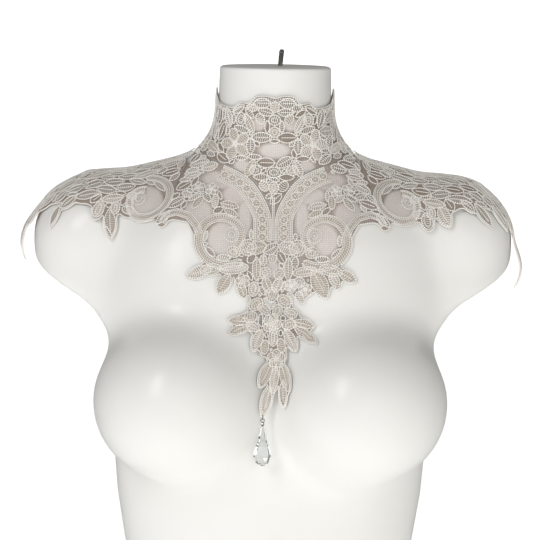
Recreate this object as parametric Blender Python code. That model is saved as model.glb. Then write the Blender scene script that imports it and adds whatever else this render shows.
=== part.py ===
"""Ivory corded-lace neckpiece with a high collar and a shoulder cape, on its display torso.

The torso is a smooth closed body, given by a distance function made of a few rounded forms. Each
piece of lace is a thin wall that follows the torso: a flat chart is laid over it, the outline and
the raised motifs are cut in that chart, and the points are then moved out along the normal.
Inside this script sizes are in millimetres, and the meshes are made in metres. +Z is up, the
front faces -Y, and the origin is the centre of the flat base of the torso.
"""
import math
from dataclasses import dataclass

import bmesh
import bpy
import numpy as np
from mathutils import Vector
from mathutils.geometry import delaunay_2d_cdt

MM = 0.001

# Torso
NECK_TOP = 474.0
WAIST_RINGS = (0.0, 4.0, 38.0, 74.0, 108.0, 138.0, 162.0, 182.0, 200.0)
CHEST_RINGS = (214.0, 226.0, 236.0, 243.0, 249.0, 255.0, 262.0, 270.0, 278.0, 285.0)
SHOULDER_RINGS = (291.0, 297.0, 303.0, 310.0, 319.0, 329.0, 338.0, 347.0, 355.0, 362.0, 369.0)
NECK_RINGS = (376.0, 383.0, 390.0, 397.0, 404.0, 412.0, 423.0, 440.0, 458.0, 471.0, 474.0)
SPOKE_ANGLES = (0, 6, 12, 17, 21.5, 26, 32, 40, 49, 58, 66, 73, 78.5, 83, 87.5, 92, 96.5, 102, 110, 119,
                130, 142, 155, 168)

END_RING_SHARE = 0.975

# Where rays start, as distances from the axis or plane of their chart
FACE_START = 200.0
SLANT_START = 230.0
COLLAR_START = 88.0
CAP_START = 130.0
TORSO_START = 330.0
FAR_POINT = 1000.0
OUTSIDE = 20.0

# Steel rod stub on the neck
ROD_RADIUS = 2.1
ROD_HEIGHT = 14.0
ROD_LEAN = 1.2

# Lace walls
CLEARANCE = 1.3
WALL = 1.2
RELIEF = 0.8
SEAM_GAP = 0.6
RELIEF_SLOPE = 0.8
EDGE_MARGIN = 1.1
GRID = 1.4
OUTLINE_TOLERANCE = 0.2
RELIEF_TOLERANCE = 0.8
SMALLEST_RELIEF = 16.0
SMALLEST_HOLE = 4.0
LONGEST_EDGE = 12.0
FILL_SPACING = 12.0

# Collar and yoke
COLLAR_RADIUS = 50.0
COLLAR_AXIS_Y = 4.0
YOKE_LINE = 393.5
YOKE_RISE = 14.0
YOKE_DIP = 35.0
YOKE_DIP_WIDTH = 13.0
COLLAR_SIDE_SEAM = 98.0
SHOULDER_SEAM_Y = 12.0
CAP_SEAM_X = 82.0
CAP_SEAM_Z = 372.0
CAP_SEAM_SLOPE = 0.52
CENTRE_BACK_GAP = 1.2

# Ringed bands of the front
BAND_HALF_WIDTH = 7.6
BAND_END_X = 46.0
BAND_FOOT_Z = 331.0
BAND_FOOT_X = 9.3
BAND_FOOT_TOP = 357.0
BAND_FRONT_Y = -6.0
BAND_SEAM_GAP = 1.2
BAND_CENTRE_GAP = 1.1
ARCH_ROUTE = (
    (92.0, 344.0), (88.0, 350.5), (80.0, 353.0), (70.0, 350.5), (63.0, 343.0), (60.5, 336.0))
ARCH_HALF_WIDTH = 3.0

# Pendant
HANG_TOP_Z = 262.0
HANG_TOP_Y = -84.0
HANG_SLOPE = 0.25
EYELET = (-6.7, 194.2)
EYELET_RADIUS = 1.25
RING_RADIUS = 2.4
RING_WIRE = 0.4
EYE_RADIUS = 1.5
EYE_WIRE = 0.35
BEAD_RADIUS = 1.7
CRYSTAL_LENGTH = 33.0
CRYSTAL_HALF_WIDTH = 7.6
CRYSTAL_HALF_DEPTH = 5.2
CRYSTAL_FACETS = 10
CRYSTAL_PROFILE = (
    (0.16, 0.0), (0.24, 0.12), (0.52, 0.38), (0.86, 0.60), (1.0, 0.76), (0.80, 0.90), (0.30, 0.99))

# Centre-back closure
BUTTON_HEIGHTS = (406.0, 418.0, 430.0, 442.0)
BUTTON_RADIUS = 3.6
BUTTON_NECK_RADIUS = 2.0
BUTTON_NECK = 1.7
BUTTON_RIM = 2.0
BUTTON_TOP = 3.8
BUTTON_SEAT = 0.35
LOOP_WIRE = 0.6


@dataclass(frozen=True)
class Section:
    """One level of a column of the torso: half width, and depth before and behind its axis."""
    z: float
    half_width: float
    front: float
    back: float


NECK_SECTIONS = (
    Section(300, 58, 50, 70), Section(370, 56, 48, 66), Section(400, 52, 46, 61),
    Section(421, 50, 45, 57), Section(440, 48.5, 44.5, 53), Section(474, 47.5, 44, 49))
RIB_SECTIONS = (
    Section(-5, 116, 78, 66), Section(0, 116, 78, 66), Section(60, 128, 83, 73),
    Section(100, 134, 86, 79), Section(140, 137, 88, 84), Section(190, 138, 90, 90),
    Section(240, 130, 86, 92), Section(290, 118, 72, 90), Section(330, 100, 56, 80),
    Section(360, 70, 40, 60))

SHOULDER_INNER = (46.0, 14.0, 346.0)
SHOULDER_OUTER = (158.0, 8.0, 325.0)
LEFT_TIP_REACH = (191.0, 3.0, 319.0)
RIGHT_TIP_REACH = (191.0, 2.0, 301.0)


@dataclass(frozen=True)
class Motif:
    """One raised shape of the lace.

    x and y are its place in the panel's own coordinates, angle is the way it grows in degrees
    (0 away from the centre, 90 up), and length and width are its real size.
    """
    kind: str
    x: float
    y: float
    angle: float
    length: float
    width: float


def motifs(*rows: tuple) -> tuple[Motif, ...]:
    """Read rows of (kind, x, y, angle, length, width)."""
    return tuple(Motif(*row) for row in rows)


# Both halves of the front, x away from the centre and y as height, seen from the front
FRONT_PAIRS = motifs(
    ("scroll", 41.0, 334.0, 0, 18.6, 6.8),
    ("oval", 20.7, 326.8, 0, 13.4, 13.4),
    ("leaf", 22.0, 324.5, 166, 18.0, 10.5),
    ("leaf", 13.5, 319.5, -87, 20.0, 7.0),
    ("oval", 32.6, 323.5, 20, 10.5, 9.0),
    ("leaf", 44.0, 361.0, 190, 15.5, 7.0),
    ("leaf", 41.0, 356.5, 207, 13.0, 5.5),
    ("oval", 48.3, 362.5, 90, 13.0, 5.4),
    ("flower", 51.5, 371.5, 20, 11.5, 5.0),
    ("flower", 62.5, 372.0, 0, 12.0, 5.0),
    ("oval", 72.0, 366.5, 20, 10.0, 6.0),
    ("oval", 74.0, 377.0, -10, 10.0, 5.0),
    ("leaf", 58.0, 366.0, -60, 15.0, 6.0),
    ("leaf", 60.0, 383.0, -20, 16.0, 6.5))
SPRAY_LEFT = motifs(
    ("leaf", 49.0, 311.0, -19, 22.5, 9.0),
    ("oval", 51.0, 309.5, -10, 17.0, 9.0),
    ("leaf", 35.0, 306.0, -57, 18.5, 9.5),
    ("oval", 32.0, 310.5, 175, 24.0, 9.0),
    ("flower", 24.5, 300.5, 0, 12.0, 5.6),
    ("leaf", 27.0, 299.0, -108, 13.5, 7.0),
    ("oval", 15.5, 294.0, -80, 12.0, 8.5))
SPRAY_RIGHT = motifs(
    ("oval", 48.0, 310.0, -10, 19.0, 9.0),
    ("leaf", 54.0, 309.5, -29, 16.5, 8.0),
    ("oval", 51.0, 302.5, -60, 12.5, 7.5),
    ("leaf", 33.5, 310.0, -62, 25.0, 13.0),
    ("oval", 27.0, 308.5, 10, 20.0, 8.0),
    ("flower", 16.0, 297.0, 0, 11.0, 5.2),
    ("oval", 22.5, 300.0, 0, 9.0, 8.0),
    ("flower", 27.5, 294.5, 30, 11.0, 5.2),
    ("oval", 23.0, 288.5, -60, 9.0, 6.5))
CENTRE = motifs(
    ("oval", 0.0, 318.0, 0, 7.5, 7.5),
    ("oval", 0.0, 289.5, 0, 11.0, 11.5),
    ("oval", -6.3, 306.5, 90, 10.0, 9.0),
    ("oval", 6.0, 306.0, 90, 9.5, 8.5),
    ("leaf", -2.0, 291.0, 112, 13.5, 8.0),
    ("leaf", 2.0, 291.0, 68, 13.5, 8.0))
DROP = motifs(
    ("oval", -13.5, 281.5, 40, 13.0, 9.5),
    ("oval", -17.5, 271.5, 10, 11.0, 8.5),
    ("oval", -15.5, 264.0, -25, 11.0, 8.0),
    ("oval", -6.5, 277.0, 130, 13.0, 8.0),
    ("oval", 10.5, 284.5, -40, 12.5, 9.5),
    ("oval", 16.0, 275.0, -12, 12.0, 8.5),
    ("oval", 14.5, 266.0, 25, 11.5, 8.0),
    ("oval", 5.0, 276.0, 80, 12.0, 8.0),
    ("flower", 0.5, 266.0, 0, 16.0, 7.0),
    ("leaf", -18.0, 268.0, 178, 18.0, 7.5),
    ("leaf", -19.0, 265.0, 204, 18.0, 6.5),
    ("leaf", -8.0, 262.0, 247, 19.5, 8.5),
    ("leaf", 18.0, 269.0, -15, 18.0, 7.5),
    ("leaf", 18.0, 265.5, -36, 25.0, 7.5),
    ("leaf", 11.0, 263.0, -62, 21.0, 8.5),
    ("oval", -5.5, 247.5, 80, 12.0, 6.5),
    ("oval", 8.5, 249.0, -78, 12.0, 6.5),
    ("oval", 1.5, 255.0, 90, 14.0, 7.5),
    ("flower", 4.5, 238.5, 18, 15.5, 6.8),
    ("leaf", 1.0, 236.5, 245, 24.0, 9.0),
    ("leaf", 5.0, 233.0, -97, 24.0, 7.5),
    ("leaf", 8.5, 235.5, -67, 26.0, 8.5),
    ("leaf", 11.0, 222.0, -80, 22.0, 7.5),
    ("leaf", 0.0, 217.0, 255, 25.0, 8.5),
    ("oval", -6.7, 194.2, 0, 3.6, 3.6))

# Both shoulders, seen from the front: x away from the centre, y as height
CAP_PAIRS = motifs(
    ("scroll", 106.0, 361.5, 200, 18.0, 6.2),
    ("oval", 119.0, 363.0, 10, 9.0, 7.5),
    ("leaf", 126.0, 362.0, -12, 20.0, 8.0),
    ("leaf", 146.0, 364.5, -2, 22.0, 8.5),
    ("oval", 122.0, 352.0, 15, 11.0, 7.0),
    ("oval", 133.0, 353.5, -80, 11.0, 7.5),
    ("leaf", 85.0, 353.0, -50, 16.0, 7.0))
CAP_FRONT_LEFT = motifs(
    ("leaf", 138.0, 353.0, -94, 24.0, 9.5),
    ("oval", 147.0, 352.5, -70, 14.0, 8.5),
    ("leaf", 166.0, 362.0, -50, 17.0, 7.5),
    ("leaf", 180.0, 353.5, -76, 18.0, 6.0))
CAP_FRONT_RIGHT = motifs(
    ("oval", 129.5, 347.0, -80, 14.0, 10.0),
    ("leaf", 140.0, 358.0, -62, 18.0, 10.0),
    ("leaf", 158.0, 363.0, -40, 14.0, 6.5),
    ("leaf", 169.0, 361.0, -62, 24.0, 8.0),
    ("leaf", 184.0, 358.0, -62, 25.0, 8.0))

# Top of both shoulders, in the cap's flat coordinates: x along the ridge, y towards the front
CAP_RIDGE = motifs(
    ("leaf", 44.0, 24.0, 8, 24.0, 8.5),
    ("leaf", 62.0, 16.0, -22, 24.0, 9.0),
    ("leaf", 60.0, 4.0, 18, 26.0, 9.0),
    ("leaf", 84.0, 12.0, 20, 26.0, 9.0),
    ("leaf", 86.0, 2.0, -25, 26.0, 9.0),
    ("leaf", 112.0, 14.0, 12, 26.0, 9.0),
    ("leaf", 112.0, 2.0, -16, 26.0, 9.0),
    ("flower", 108.0, 7.0, 0, 15.0, 6.5),
    ("flower", 142.0, 4.0, 0, 14.0, 6.0),
    ("leaf", 148.0, 8.0, 18, 26.0, 8.0),
    ("leaf", 148.0, -2.0, -18, 26.0, 8.0),
    ("scroll", 66.0, -32.0, 160, 17.0, 6.2),
    ("leaf", 90.0, -30.0, 5, 24.0, 9.0),
    ("leaf", 94.0, -42.0, -60, 18.0, 8.0),
    ("leaf", 116.0, -26.0, -10, 22.0, 8.5),
    ("leaf", 122.0, -34.0, -60, 16.0, 7.5),
    ("leaf", 70.0, -52.0, -80, 16.0, 8.0))
TIP_LEFT = motifs(("leaf", 158.0, 5.0, 0, 42.0, 15.0))
TIP_RIGHT = motifs(("leaf", 160.0, 5.0, 0, 54.0, 14.0))

# Both halves of the back, seen from behind: x away from the centre, y as height
BACK_PAIRS = motifs(
    ("scroll", 42.0, 346.0, 0, 18.0, 6.5),
    ("oval", 12.0, 380.0, 90, 14.0, 8.0),
    ("oval", 12.0, 362.0, 90, 14.0, 8.0),
    ("leaf", 9.0, 350.0, -80, 22.0, 9.0),
    ("leaf", 22.0, 330.0, -110, 20.0, 9.0),
    ("leaf", 34.0, 323.0, -80, 18.0, 9.0),
    ("leaf", 56.0, 327.0, -65, 20.0, 9.0),
    ("leaf", 70.0, 340.0, -40, 22.0, 9.0),
    ("flower", 66.0, 366.0, 0, 14.0, 6.0),
    ("leaf", 28.0, 378.0, 12, 20.0, 8.0),
    ("leaf", 50.0, 376.0, -15, 20.0, 7.5),
    ("oval", 78.0, 356.0, -40, 12.0, 7.0))

# Both halves of the collar: x as the arc from the centre front, y as height
COLLAR_PAIRS = motifs(
    ("flower", 33.0, 410.0, 0, 27.0, 8.5),
    ("oval", 29.0, 431.0, 100, 11.0, 9.0),
    ("leaf", 39.0, 424.0, 70, 17.0, 8.0),
    ("leaf", 17.0, 420.0, 62, 18.0, 6.5),
    ("oval", 12.0, 432.0, 60, 9.0, 7.0),
    ("oval", 19.0, 441.0, 10, 9.0, 6.0),
    ("leaf", 16.0, 398.0, -70, 16.0, 7.0),
    ("oval", 14.5, 389.0, 0, 9.0, 8.0),
    ("oval", 7.5, 376.0, 60, 9.0, 7.0),
    ("leaf", 47.0, 402.0, 25, 18.0, 7.0),
    ("leaf", 56.0, 412.0, 62, 22.0, 8.0),
    ("leaf", 66.0, 420.0, 80, 26.0, 8.5),
    ("flower", 68.0, 407.0, 0, 18.0, 6.5),
    ("leaf", 78.0, 410.0, 75, 24.0, 8.0))
COLLAR_CENTRE = motifs(
    ("oval", 0.0, 431.0, 0, 9.5, 8.5),
    ("oval", 0.0, 442.0, 90, 9.0, 7.0),
    ("oval", 0.0, 421.0, 90, 9.0, 8.0),
    ("oval", 0.0, 387.5, 0, 11.0, 9.0),
    ("oval", 0.0, 375.0, 90, 10.0, 7.5))
COLLAR_BACK_PAIRS = motifs(
    ("leaf", 94.0, 404.0, 78, 22.0, 8.0),
    ("flower", 110.0, 416.0, 0, 20.0, 7.0),
    ("leaf", 104.0, 428.0, 50, 16.0, 7.0),
    ("leaf", 124.0, 404.0, 70, 20.0, 8.0),
    ("oval", 126.0, 434.0, 60, 12.0, 8.0),
    ("leaf", 140.0, 408.0, 84, 26.0, 8.5))


@dataclass(frozen=True)
class EdgePoint:
    """One turn of an edge: how far along it lies, and its height or distance there."""
    along: float
    reach: float


def edge(*rows: tuple[float, float]) -> tuple[EdgePoint, ...]:
    """Read rows of (along, reach)."""
    return tuple(EdgePoint(*row) for row in rows)


COLLAR_TOP = edge(
    (0, 449.0), (9, 451.0), (17, 450.5), (26, 444.0), (34, 445.0), (44, 440.0), (55, 441.0),
    (66, 443.0), (78, 449.0), (88, 455.5), (98, 449.0), (112, 446.0), (126, 448.0),
    (140, 446.0), (154, 448.0), (168, 445.0), (180, 447.0))
FRONT_HEM = edge(
    (0, 288.0), (8, 288.0), (14, 296.0), (22, 300.0), (32, 304.0), (44, 312.0), (52, 312.0),
    (60, 320.0), (64, 336.0), (72, 346.0), (82, 347.0), (92, 345.0), (110, 340.0))
BACK_HEM = edge(
    (0, 342.0), (10, 338.0), (20, 324.0), (34, 320.0), (52, 324.0), (66, 334.0), (80, 343.0),
    (96, 350.0), (120, 350.0))
CAP_FRONT_HEM = edge(
    (0, 66.0), (40, 66.0), (62, 68.5), (78, 65.0), (88, 57.0), (100, 54.0), (112, 46.0),
    (124, 42.0), (138, 34.0), (150, 26.0), (164, 17.0), (176, 10.0), (190, 3.0))
CAP_BACK_HEM = edge(
    (0, 62.0), (60, 60.0), (84, 56.0), (104, 48.0), (124, 38.0), (146, 26.0), (162, 15.0),
    (176, 8.0), (190, 1.0))


def smooth_min(a: np.ndarray, b: np.ndarray, blend: float) -> np.ndarray:
    """Join two distance fields with a fillet."""
    h = np.clip(0.5 + 0.5 * (b - a) / blend, 0, 1)
    return b * (1 - h) + a * h - blend * h * (1 - h)


def smooth_max(a: np.ndarray, b: np.ndarray, blend: float) -> np.ndarray:
    """Cut one distance field by another with a rounded edge."""
    return -smooth_min(-a, -b, blend)


def ellipsoid(p: np.ndarray, centre: tuple, radii: tuple) -> np.ndarray:
    """Distance to an ellipsoid."""
    q = (p - np.array(centre)) / np.array(radii)
    size = np.linalg.norm(q, axis=-1)
    slope = np.linalg.norm(q / np.array(radii), axis=-1)
    return size * (size - 1) / np.maximum(slope, 1e-9)


def round_cone(p: np.ndarray, start: tuple, end: tuple, r_start: float, r_end: float) -> np.ndarray:
    """Distance to a capsule whose radius changes along its axis."""
    a = np.array(start)
    axis = np.array(end) - a
    t = np.clip(((p - a) @ axis) / (axis @ axis), 0, 1)
    return np.linalg.norm(p - (a + t[..., None] * axis), axis=-1) - (r_start + (r_end - r_start) * t)


def column(p: np.ndarray, sections: tuple[Section, ...]) -> np.ndarray:
    """Distance to an upright column of half-elliptical sections."""
    z = [s.z for s in sections]
    width = np.interp(p[..., 2], z, [s.half_width for s in sections])
    front = np.interp(p[..., 2], z, [s.front for s in sections])
    back = np.interp(p[..., 2], z, [s.back for s in sections])
    depth = np.where(p[..., 1] < 0, front, back)
    ratio = np.sqrt((p[..., 0] / width) ** 2 + (p[..., 1] / depth) ** 2)
    return (ratio - 1) * np.minimum(width, depth)


def torso_distance(points: np.ndarray) -> np.ndarray:
    """Distance to the display torso, whose halves mirror each other."""
    p = np.array(points, dtype=float)
    p[..., 0] = np.sqrt(p[..., 0] ** 2 + 4.0)
    ribs = smooth_max(column(p, RIB_SECTIONS), p[..., 2] - 345, 40)
    shoulder = round_cone(p, SHOULDER_INNER, SHOULDER_OUTER, 53, 48)
    arm = round_cone(p, SHOULDER_OUTER, (163, 6, 240), 48, 46)
    shoulder = smooth_min(shoulder, arm, 6)
    arm_cut = (p[..., 0] - 208) * 0.5 - (p[..., 2] - 303) * 0.866
    shoulder = smooth_max(shoulder, arm_cut, 9)
    body = smooth_min(ribs, shoulder, 30)
    body = smooth_min(body, column(p, NECK_SECTIONS), 38)
    body = smooth_min(body, ellipsoid(p, (62, -34, 275), (68, 44, 80)), 40)
    body = smooth_min(body, ellipsoid(p, (77, -72, 197), (71, 70, 68)), 22)
    body = smooth_min(body, ellipsoid(p, (70, 46, 290), (62, 44, 75)), 40)
    body = smooth_max(body, p[..., 2] - NECK_TOP, 3)
    return smooth_max(body, -p[..., 2], 3)


def drape_distance(points: np.ndarray) -> np.ndarray:
    """Distance to the surface that the lace follows.

    It is the torso, but for the leaf drop, which hangs straight before the valley of the chest,
    and the tips of the cape, which stand off the ends of the shoulders.
    """
    p = np.array(points, dtype=float)
    hang_y = HANG_TOP_Y - (HANG_TOP_Z - p[..., 2]) * HANG_SLOPE
    plate = np.maximum(hang_y - p[..., 1], np.abs(p[..., 0]) - 20)
    plate = np.maximum(plate, np.maximum(p[..., 2] - 268, 182 - p[..., 2]))
    plate = np.maximum(plate, p[..., 1])
    drape = smooth_min(torso_distance(p), plate, 12)
    for side, reach, r_end in ((-1, LEFT_TIP_REACH, 25.0), (1, RIGHT_TIP_REACH, 23.0)):
        mirrored = p * np.array([side, 1, 1])
        drape = smooth_min(drape, round_cone(mirrored, (150, 8, 328), reach, 49, r_end), 14)
    return drape


def normals(points: np.ndarray) -> np.ndarray:
    """Outward unit normals of the drape surface."""
    step = 0.4
    gradient = np.stack([drape_distance(points + axis) - drape_distance(points - axis)
                         for axis in np.eye(3) * step], axis=-1)
    return gradient / np.linalg.norm(gradient, axis=-1, keepdims=True)


def trace(field, starts: np.ndarray, directions: np.ndarray, reach: float) -> np.ndarray:
    """Follow rays inwards until they meet a field's surface; a ray that misses gives nan."""
    travel = np.zeros(starts.shape[:-1])
    for _ in range(70):
        travel += 0.75 * field(starts + travel[..., None] * directions)
        travel = np.minimum(travel, reach)
    points = starts + travel[..., None] * directions
    points[travel >= reach] = np.nan
    return points


class Chart:
    """A map from flat coordinates, in mm, to points on the drape surface."""

    reach = 400.0

    def rays(self, u: np.ndarray, v: np.ndarray) -> tuple[np.ndarray, np.ndarray]:
        """Start and direction of the ray for each place."""
        raise NotImplementedError

    def surface(self, u: np.ndarray, v: np.ndarray) -> np.ndarray:
        """Points on the drape surface; nan where the chart misses it."""
        starts, directions = self.rays(np.asarray(u, float), np.asarray(v, float))
        return trace(drape_distance, starts, directions, self.reach)

    def frame(self, u: float, v: float) -> tuple[np.ndarray, np.ndarray, np.ndarray]:
        """Centre and two unit tangents of the surface at one place."""
        step = 1.0
        p = self.surface(np.array([u, u + step, u]), np.array([v, v, v + step]))
        along = (p[1] - p[0]) / np.linalg.norm(p[1] - p[0])
        across = p[2] - p[0]
        across = across - along * (across @ along)
        return p[0], along, across / np.linalg.norm(across)


@dataclass(frozen=True)
class FaceChart(Chart):
    """Level rays from the front (-1) or the back (1): places as seen in an upright view."""
    facing: int

    def rays(self, u: np.ndarray, v: np.ndarray) -> tuple[np.ndarray, np.ndarray]:
        """Start and direction of the ray for each place."""
        starts = np.stack([u, np.full_like(u, self.facing * FACE_START), v], axis=-1)
        return starts, np.broadcast_to([0.0, -self.facing, 0.0], starts.shape)


@dataclass(frozen=True)
class SlantChart(Chart):
    """Rays that come down on the chest (-1) or the back (1), so that the yoke lies flat in it."""
    facing: int
    rise: float = 0.6

    def rays(self, u: np.ndarray, v: np.ndarray) -> tuple[np.ndarray, np.ndarray]:
        """Start and direction of the ray for each place."""
        level = math.sqrt(1 - self.rise ** 2)
        out = np.array([0.0, self.facing * level, self.rise])
        up = np.array([0.0, -self.facing * self.rise, level])
        starts = u[..., None] * np.array([1.0, 0, 0]) + v[..., None] * up + SLANT_START * out
        return starts, np.broadcast_to(-out, starts.shape)


@dataclass(frozen=True)
class CollarChart(Chart):
    """Level rays towards the axis of the neck: u as the arc from the front, v as height."""
    reach: float = 80.0

    def rays(self, u: np.ndarray, v: np.ndarray) -> tuple[np.ndarray, np.ndarray]:
        """Start and direction of the ray for each place."""
        angle = u / COLLAR_RADIUS
        out = np.stack([np.sin(angle), -np.cos(angle), np.zeros_like(angle)], axis=-1)
        axis = np.stack([np.zeros_like(v), np.full_like(v, COLLAR_AXIS_Y), v], axis=-1)
        return axis + out * COLLAR_START, -out


@dataclass(frozen=True)
class CapChart(Chart):
    """Rays towards the shoulder's axis, and past its end towards its end point.

    u runs out along the ridge and then down over the end, v runs towards the front.
    """
    side: int
    reach: float = 120.0

    @property
    def axis(self) -> np.ndarray:
        """The shoulder's axis, from the neck outwards."""
        return (np.array(SHOULDER_OUTER) - np.array(SHOULDER_INNER)) * np.array([self.side, 1, 1])

    def rays(self, u: np.ndarray, v: np.ndarray) -> tuple[np.ndarray, np.ndarray]:
        """Start and direction of the ray for each place."""
        length = np.linalg.norm(self.axis)
        along = self.axis / length
        across = np.array([0.0, -1.0, 0.0])
        across = across - along * (across @ along)
        across /= np.linalg.norm(across)
        up = np.cross(across, along) * self.side
        start = np.array(SHOULDER_INNER) * np.array([self.side, 1, 1])
        bend = np.maximum(u - length, 0) / COLLAR_RADIUS
        turn = v / COLLAR_RADIUS
        base = start + np.minimum(u, length)[..., None] * along
        lifted = np.cos(bend)[..., None] * up + np.sin(bend)[..., None] * along
        out = np.cos(turn)[..., None] * lifted + np.sin(turn)[..., None] * across
        return base + out * CAP_START, -out


def leaf_shape(a: np.ndarray, b: np.ndarray, length: float, width: float) -> np.ndarray:
    """Distance to a pointed leaf from its base at 0 to its tip at length."""
    radius = (length ** 2 + width ** 2) / (4 * width)
    return np.hypot(a - length / 2, np.abs(b) + radius - width / 2) - radius


def oval_shape(a: np.ndarray, b: np.ndarray, length: float, width: float) -> np.ndarray:
    """Distance to an oval about its centre."""
    ratio = np.hypot(a / (length / 2), b / (width / 2))
    return (ratio - 1) * min(length, width) / 2


def flower_shape(a: np.ndarray, b: np.ndarray, length: float, width: float) -> np.ndarray:
    """Distance to a flower of five petals; length is its span and width a petal's width."""
    petals = 5
    turn = np.arctan2(b, a)
    sector = 2 * math.pi / petals
    turn = (turn + sector / 2) % sector - sector / 2
    radius = np.hypot(a, b)
    along, across = radius * np.cos(turn), radius * np.sin(turn)
    return oval_shape(along - length * 0.27, across, length * 0.46, width)


def scroll_path(radius: float) -> np.ndarray:
    """Middle line of a scroll band: a C that winds in from its open foot to its curl."""
    turns = np.radians(np.linspace(-130, 228, 34))
    share = np.linspace(0, 1, 34)
    reach = radius * (1.30 - 0.95 * share + 1.45 * share ** 2 - 1.25 * share ** 3)
    return np.stack([reach * np.cos(turns), reach * np.sin(turns)], axis=-1)


def path_distance(p: np.ndarray, path: np.ndarray) -> np.ndarray:
    """Distance from points to a broken line, in any number of dimensions."""
    nearest = np.full(p.shape[:-1], np.inf)
    for start, end in zip(path[:-1], path[1:]):
        axis = end - start
        t = np.clip(((p - start) @ axis) / (axis @ axis), 0, 1)
        nearest = np.minimum(nearest, np.linalg.norm(p - (start + t[..., None] * axis), axis=-1))
    return nearest


def scroll_shape(a: np.ndarray, b: np.ndarray, length: float, width: float) -> np.ndarray:
    """Distance to a C-scroll; length is its radius and width its band's width."""
    band = path_distance(np.stack([a, b], axis=-1), scroll_path(length)) - width / 2
    disc = np.hypot(a + length * 0.36, b - length * 0.18) - length * 0.33
    return np.minimum(band, disc)


SHAPES = {"leaf": leaf_shape, "oval": oval_shape, "flower": flower_shape, "scroll": scroll_shape}


def motif_distance(a: np.ndarray, b: np.ndarray, motif: Motif) -> np.ndarray:
    """Distance to a motif from places measured from its own centre."""
    turn = math.radians(motif.angle)
    along = a * math.cos(turn) + b * math.sin(turn)
    across = b * math.cos(turn) - a * math.sin(turn)
    return SHAPES[motif.kind](along, across, motif.length, motif.width)


def seated(points: np.ndarray, chart: Chart, rows: tuple[Motif, ...], side: int) -> np.ndarray:
    """Distance to motifs placed in an upright view and drawn in the surface at that place."""
    nearest = np.full(points.shape[:-1], np.inf)
    for motif in rows:
        centre, along, across = chart.frame(motif.x * side, motif.y)
        offset = points - centre
        far = np.linalg.norm(offset, axis=-1) > 2 * motif.length + 25
        shape = motif_distance(offset @ along * side, offset @ across, motif)
        nearest = np.minimum(nearest, np.where(far, np.inf, shape))
    return nearest


def laid(u: np.ndarray, v: np.ndarray, rows: tuple[Motif, ...], side: int = 1) -> np.ndarray:
    """Distance to motifs drawn straight in a chart's flat coordinates."""
    nearest = np.full(u.shape, np.inf)
    for motif in rows:
        nearest = np.minimum(nearest, motif_distance(u * side - motif.x, v - motif.y, motif))
    return nearest


def edge_reach(along: np.ndarray, rows: tuple[EdgePoint, ...]) -> np.ndarray:
    """Height of an edge, with rounded turns between the rows of its table."""
    at = np.array([row.along for row in rows])
    reach = np.array([row.reach for row in rows])
    fine = np.linspace(at[0], at[-1], 240)
    index = np.clip(np.searchsorted(at, fine) - 1, 0, len(at) - 2)
    t = (fine - at[index]) / (at[index + 1] - at[index])
    eased = reach[index] + (reach[index + 1] - reach[index]) * (3 * t ** 2 - 2 * t ** 3)
    return np.interp(along, fine, eased)


def yoke_height(p: np.ndarray) -> np.ndarray:
    """Height of the seam between collar and yoke: a deep V in front, higher round the sides."""
    dip = YOKE_DIP / (1 + (p[..., 0] / YOKE_DIP_WIDTH) ** 2)
    forward = COLLAR_AXIS_Y - p[..., 1]
    turned_front = np.maximum(forward, 0) / np.maximum(np.hypot(p[..., 0], forward), 1e-6)
    rise = YOKE_RISE * (1 - turned_front) ** 1.5
    return YOKE_LINE + rise - np.where(p[..., 1] < 0, dip, 0)


def yoke_ring() -> np.ndarray:
    """Points of the seam between collar and yoke, all round the neck."""
    turn = np.radians(np.arange(0, 361, 3.0))
    chart = CollarChart()
    height = np.full_like(turn, YOKE_LINE)
    for _ in range(12):
        height = 0.5 * (height + yoke_height(chart.surface(turn * COLLAR_RADIUS, height)))
    return chart.surface(turn * COLLAR_RADIUS, height)


def above_yoke(p: np.ndarray, ring: np.ndarray) -> np.ndarray:
    """Signed distance to the collar seam: positive on the collar, negative on the yoke."""
    return np.where(p[..., 2] > yoke_height(p), 1.0, -1.0) * path_distance(p, ring)


def cap_seam(p: np.ndarray, side: int) -> np.ndarray:
    """Signed distance to the seam of a shoulder cap: positive on the cap."""
    across = p[..., 0] * side - CAP_SEAM_X + CAP_SEAM_SLOPE * (p[..., 2] - CAP_SEAM_Z)
    return across / math.hypot(1, CAP_SEAM_SLOPE)


@dataclass
class Panel:
    """One piece of lace: its name, chart, extent, and its outline and motifs on that chart."""
    name: str
    chart: Chart
    extent: tuple[float, float, float, float]
    outline: object
    raised: object

    def measure(self, u: np.ndarray, v: np.ndarray, points: np.ndarray) -> tuple:
        """Distances to the outline and to the raised motifs."""
        safe = np.where(np.isnan(points), FAR_POINT, points)
        motif = self.raised(u, v, safe)
        outline = self.outline(u, v, safe, motif)
        outline = np.where(np.isnan(points[..., 0]), OUTSIDE, outline)
        return outline, np.maximum(motif, outline + EDGE_MARGIN)


def bands(p: np.ndarray, seam: np.ndarray) -> np.ndarray:
    """Distance to the two ringed bands: along the V of the collar, then straight down."""
    before = p[..., 1] - BAND_FRONT_Y
    upper = np.abs(seam + BAND_HALF_WIDTH + BAND_SEAM_GAP) - BAND_HALF_WIDTH
    upper = np.maximum(upper, np.maximum(np.abs(p[..., 0]) - BAND_END_X, before))
    lower = np.abs(np.abs(p[..., 0]) - BAND_FOOT_X) - BAND_HALF_WIDTH
    lower = np.maximum(lower, np.maximum(BAND_FOOT_Z - p[..., 2], p[..., 2] - BAND_FOOT_TOP))
    both = np.minimum(upper, np.maximum(lower, before))
    return np.maximum(both, BAND_CENTRE_GAP - np.abs(p[..., 0]))


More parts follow.
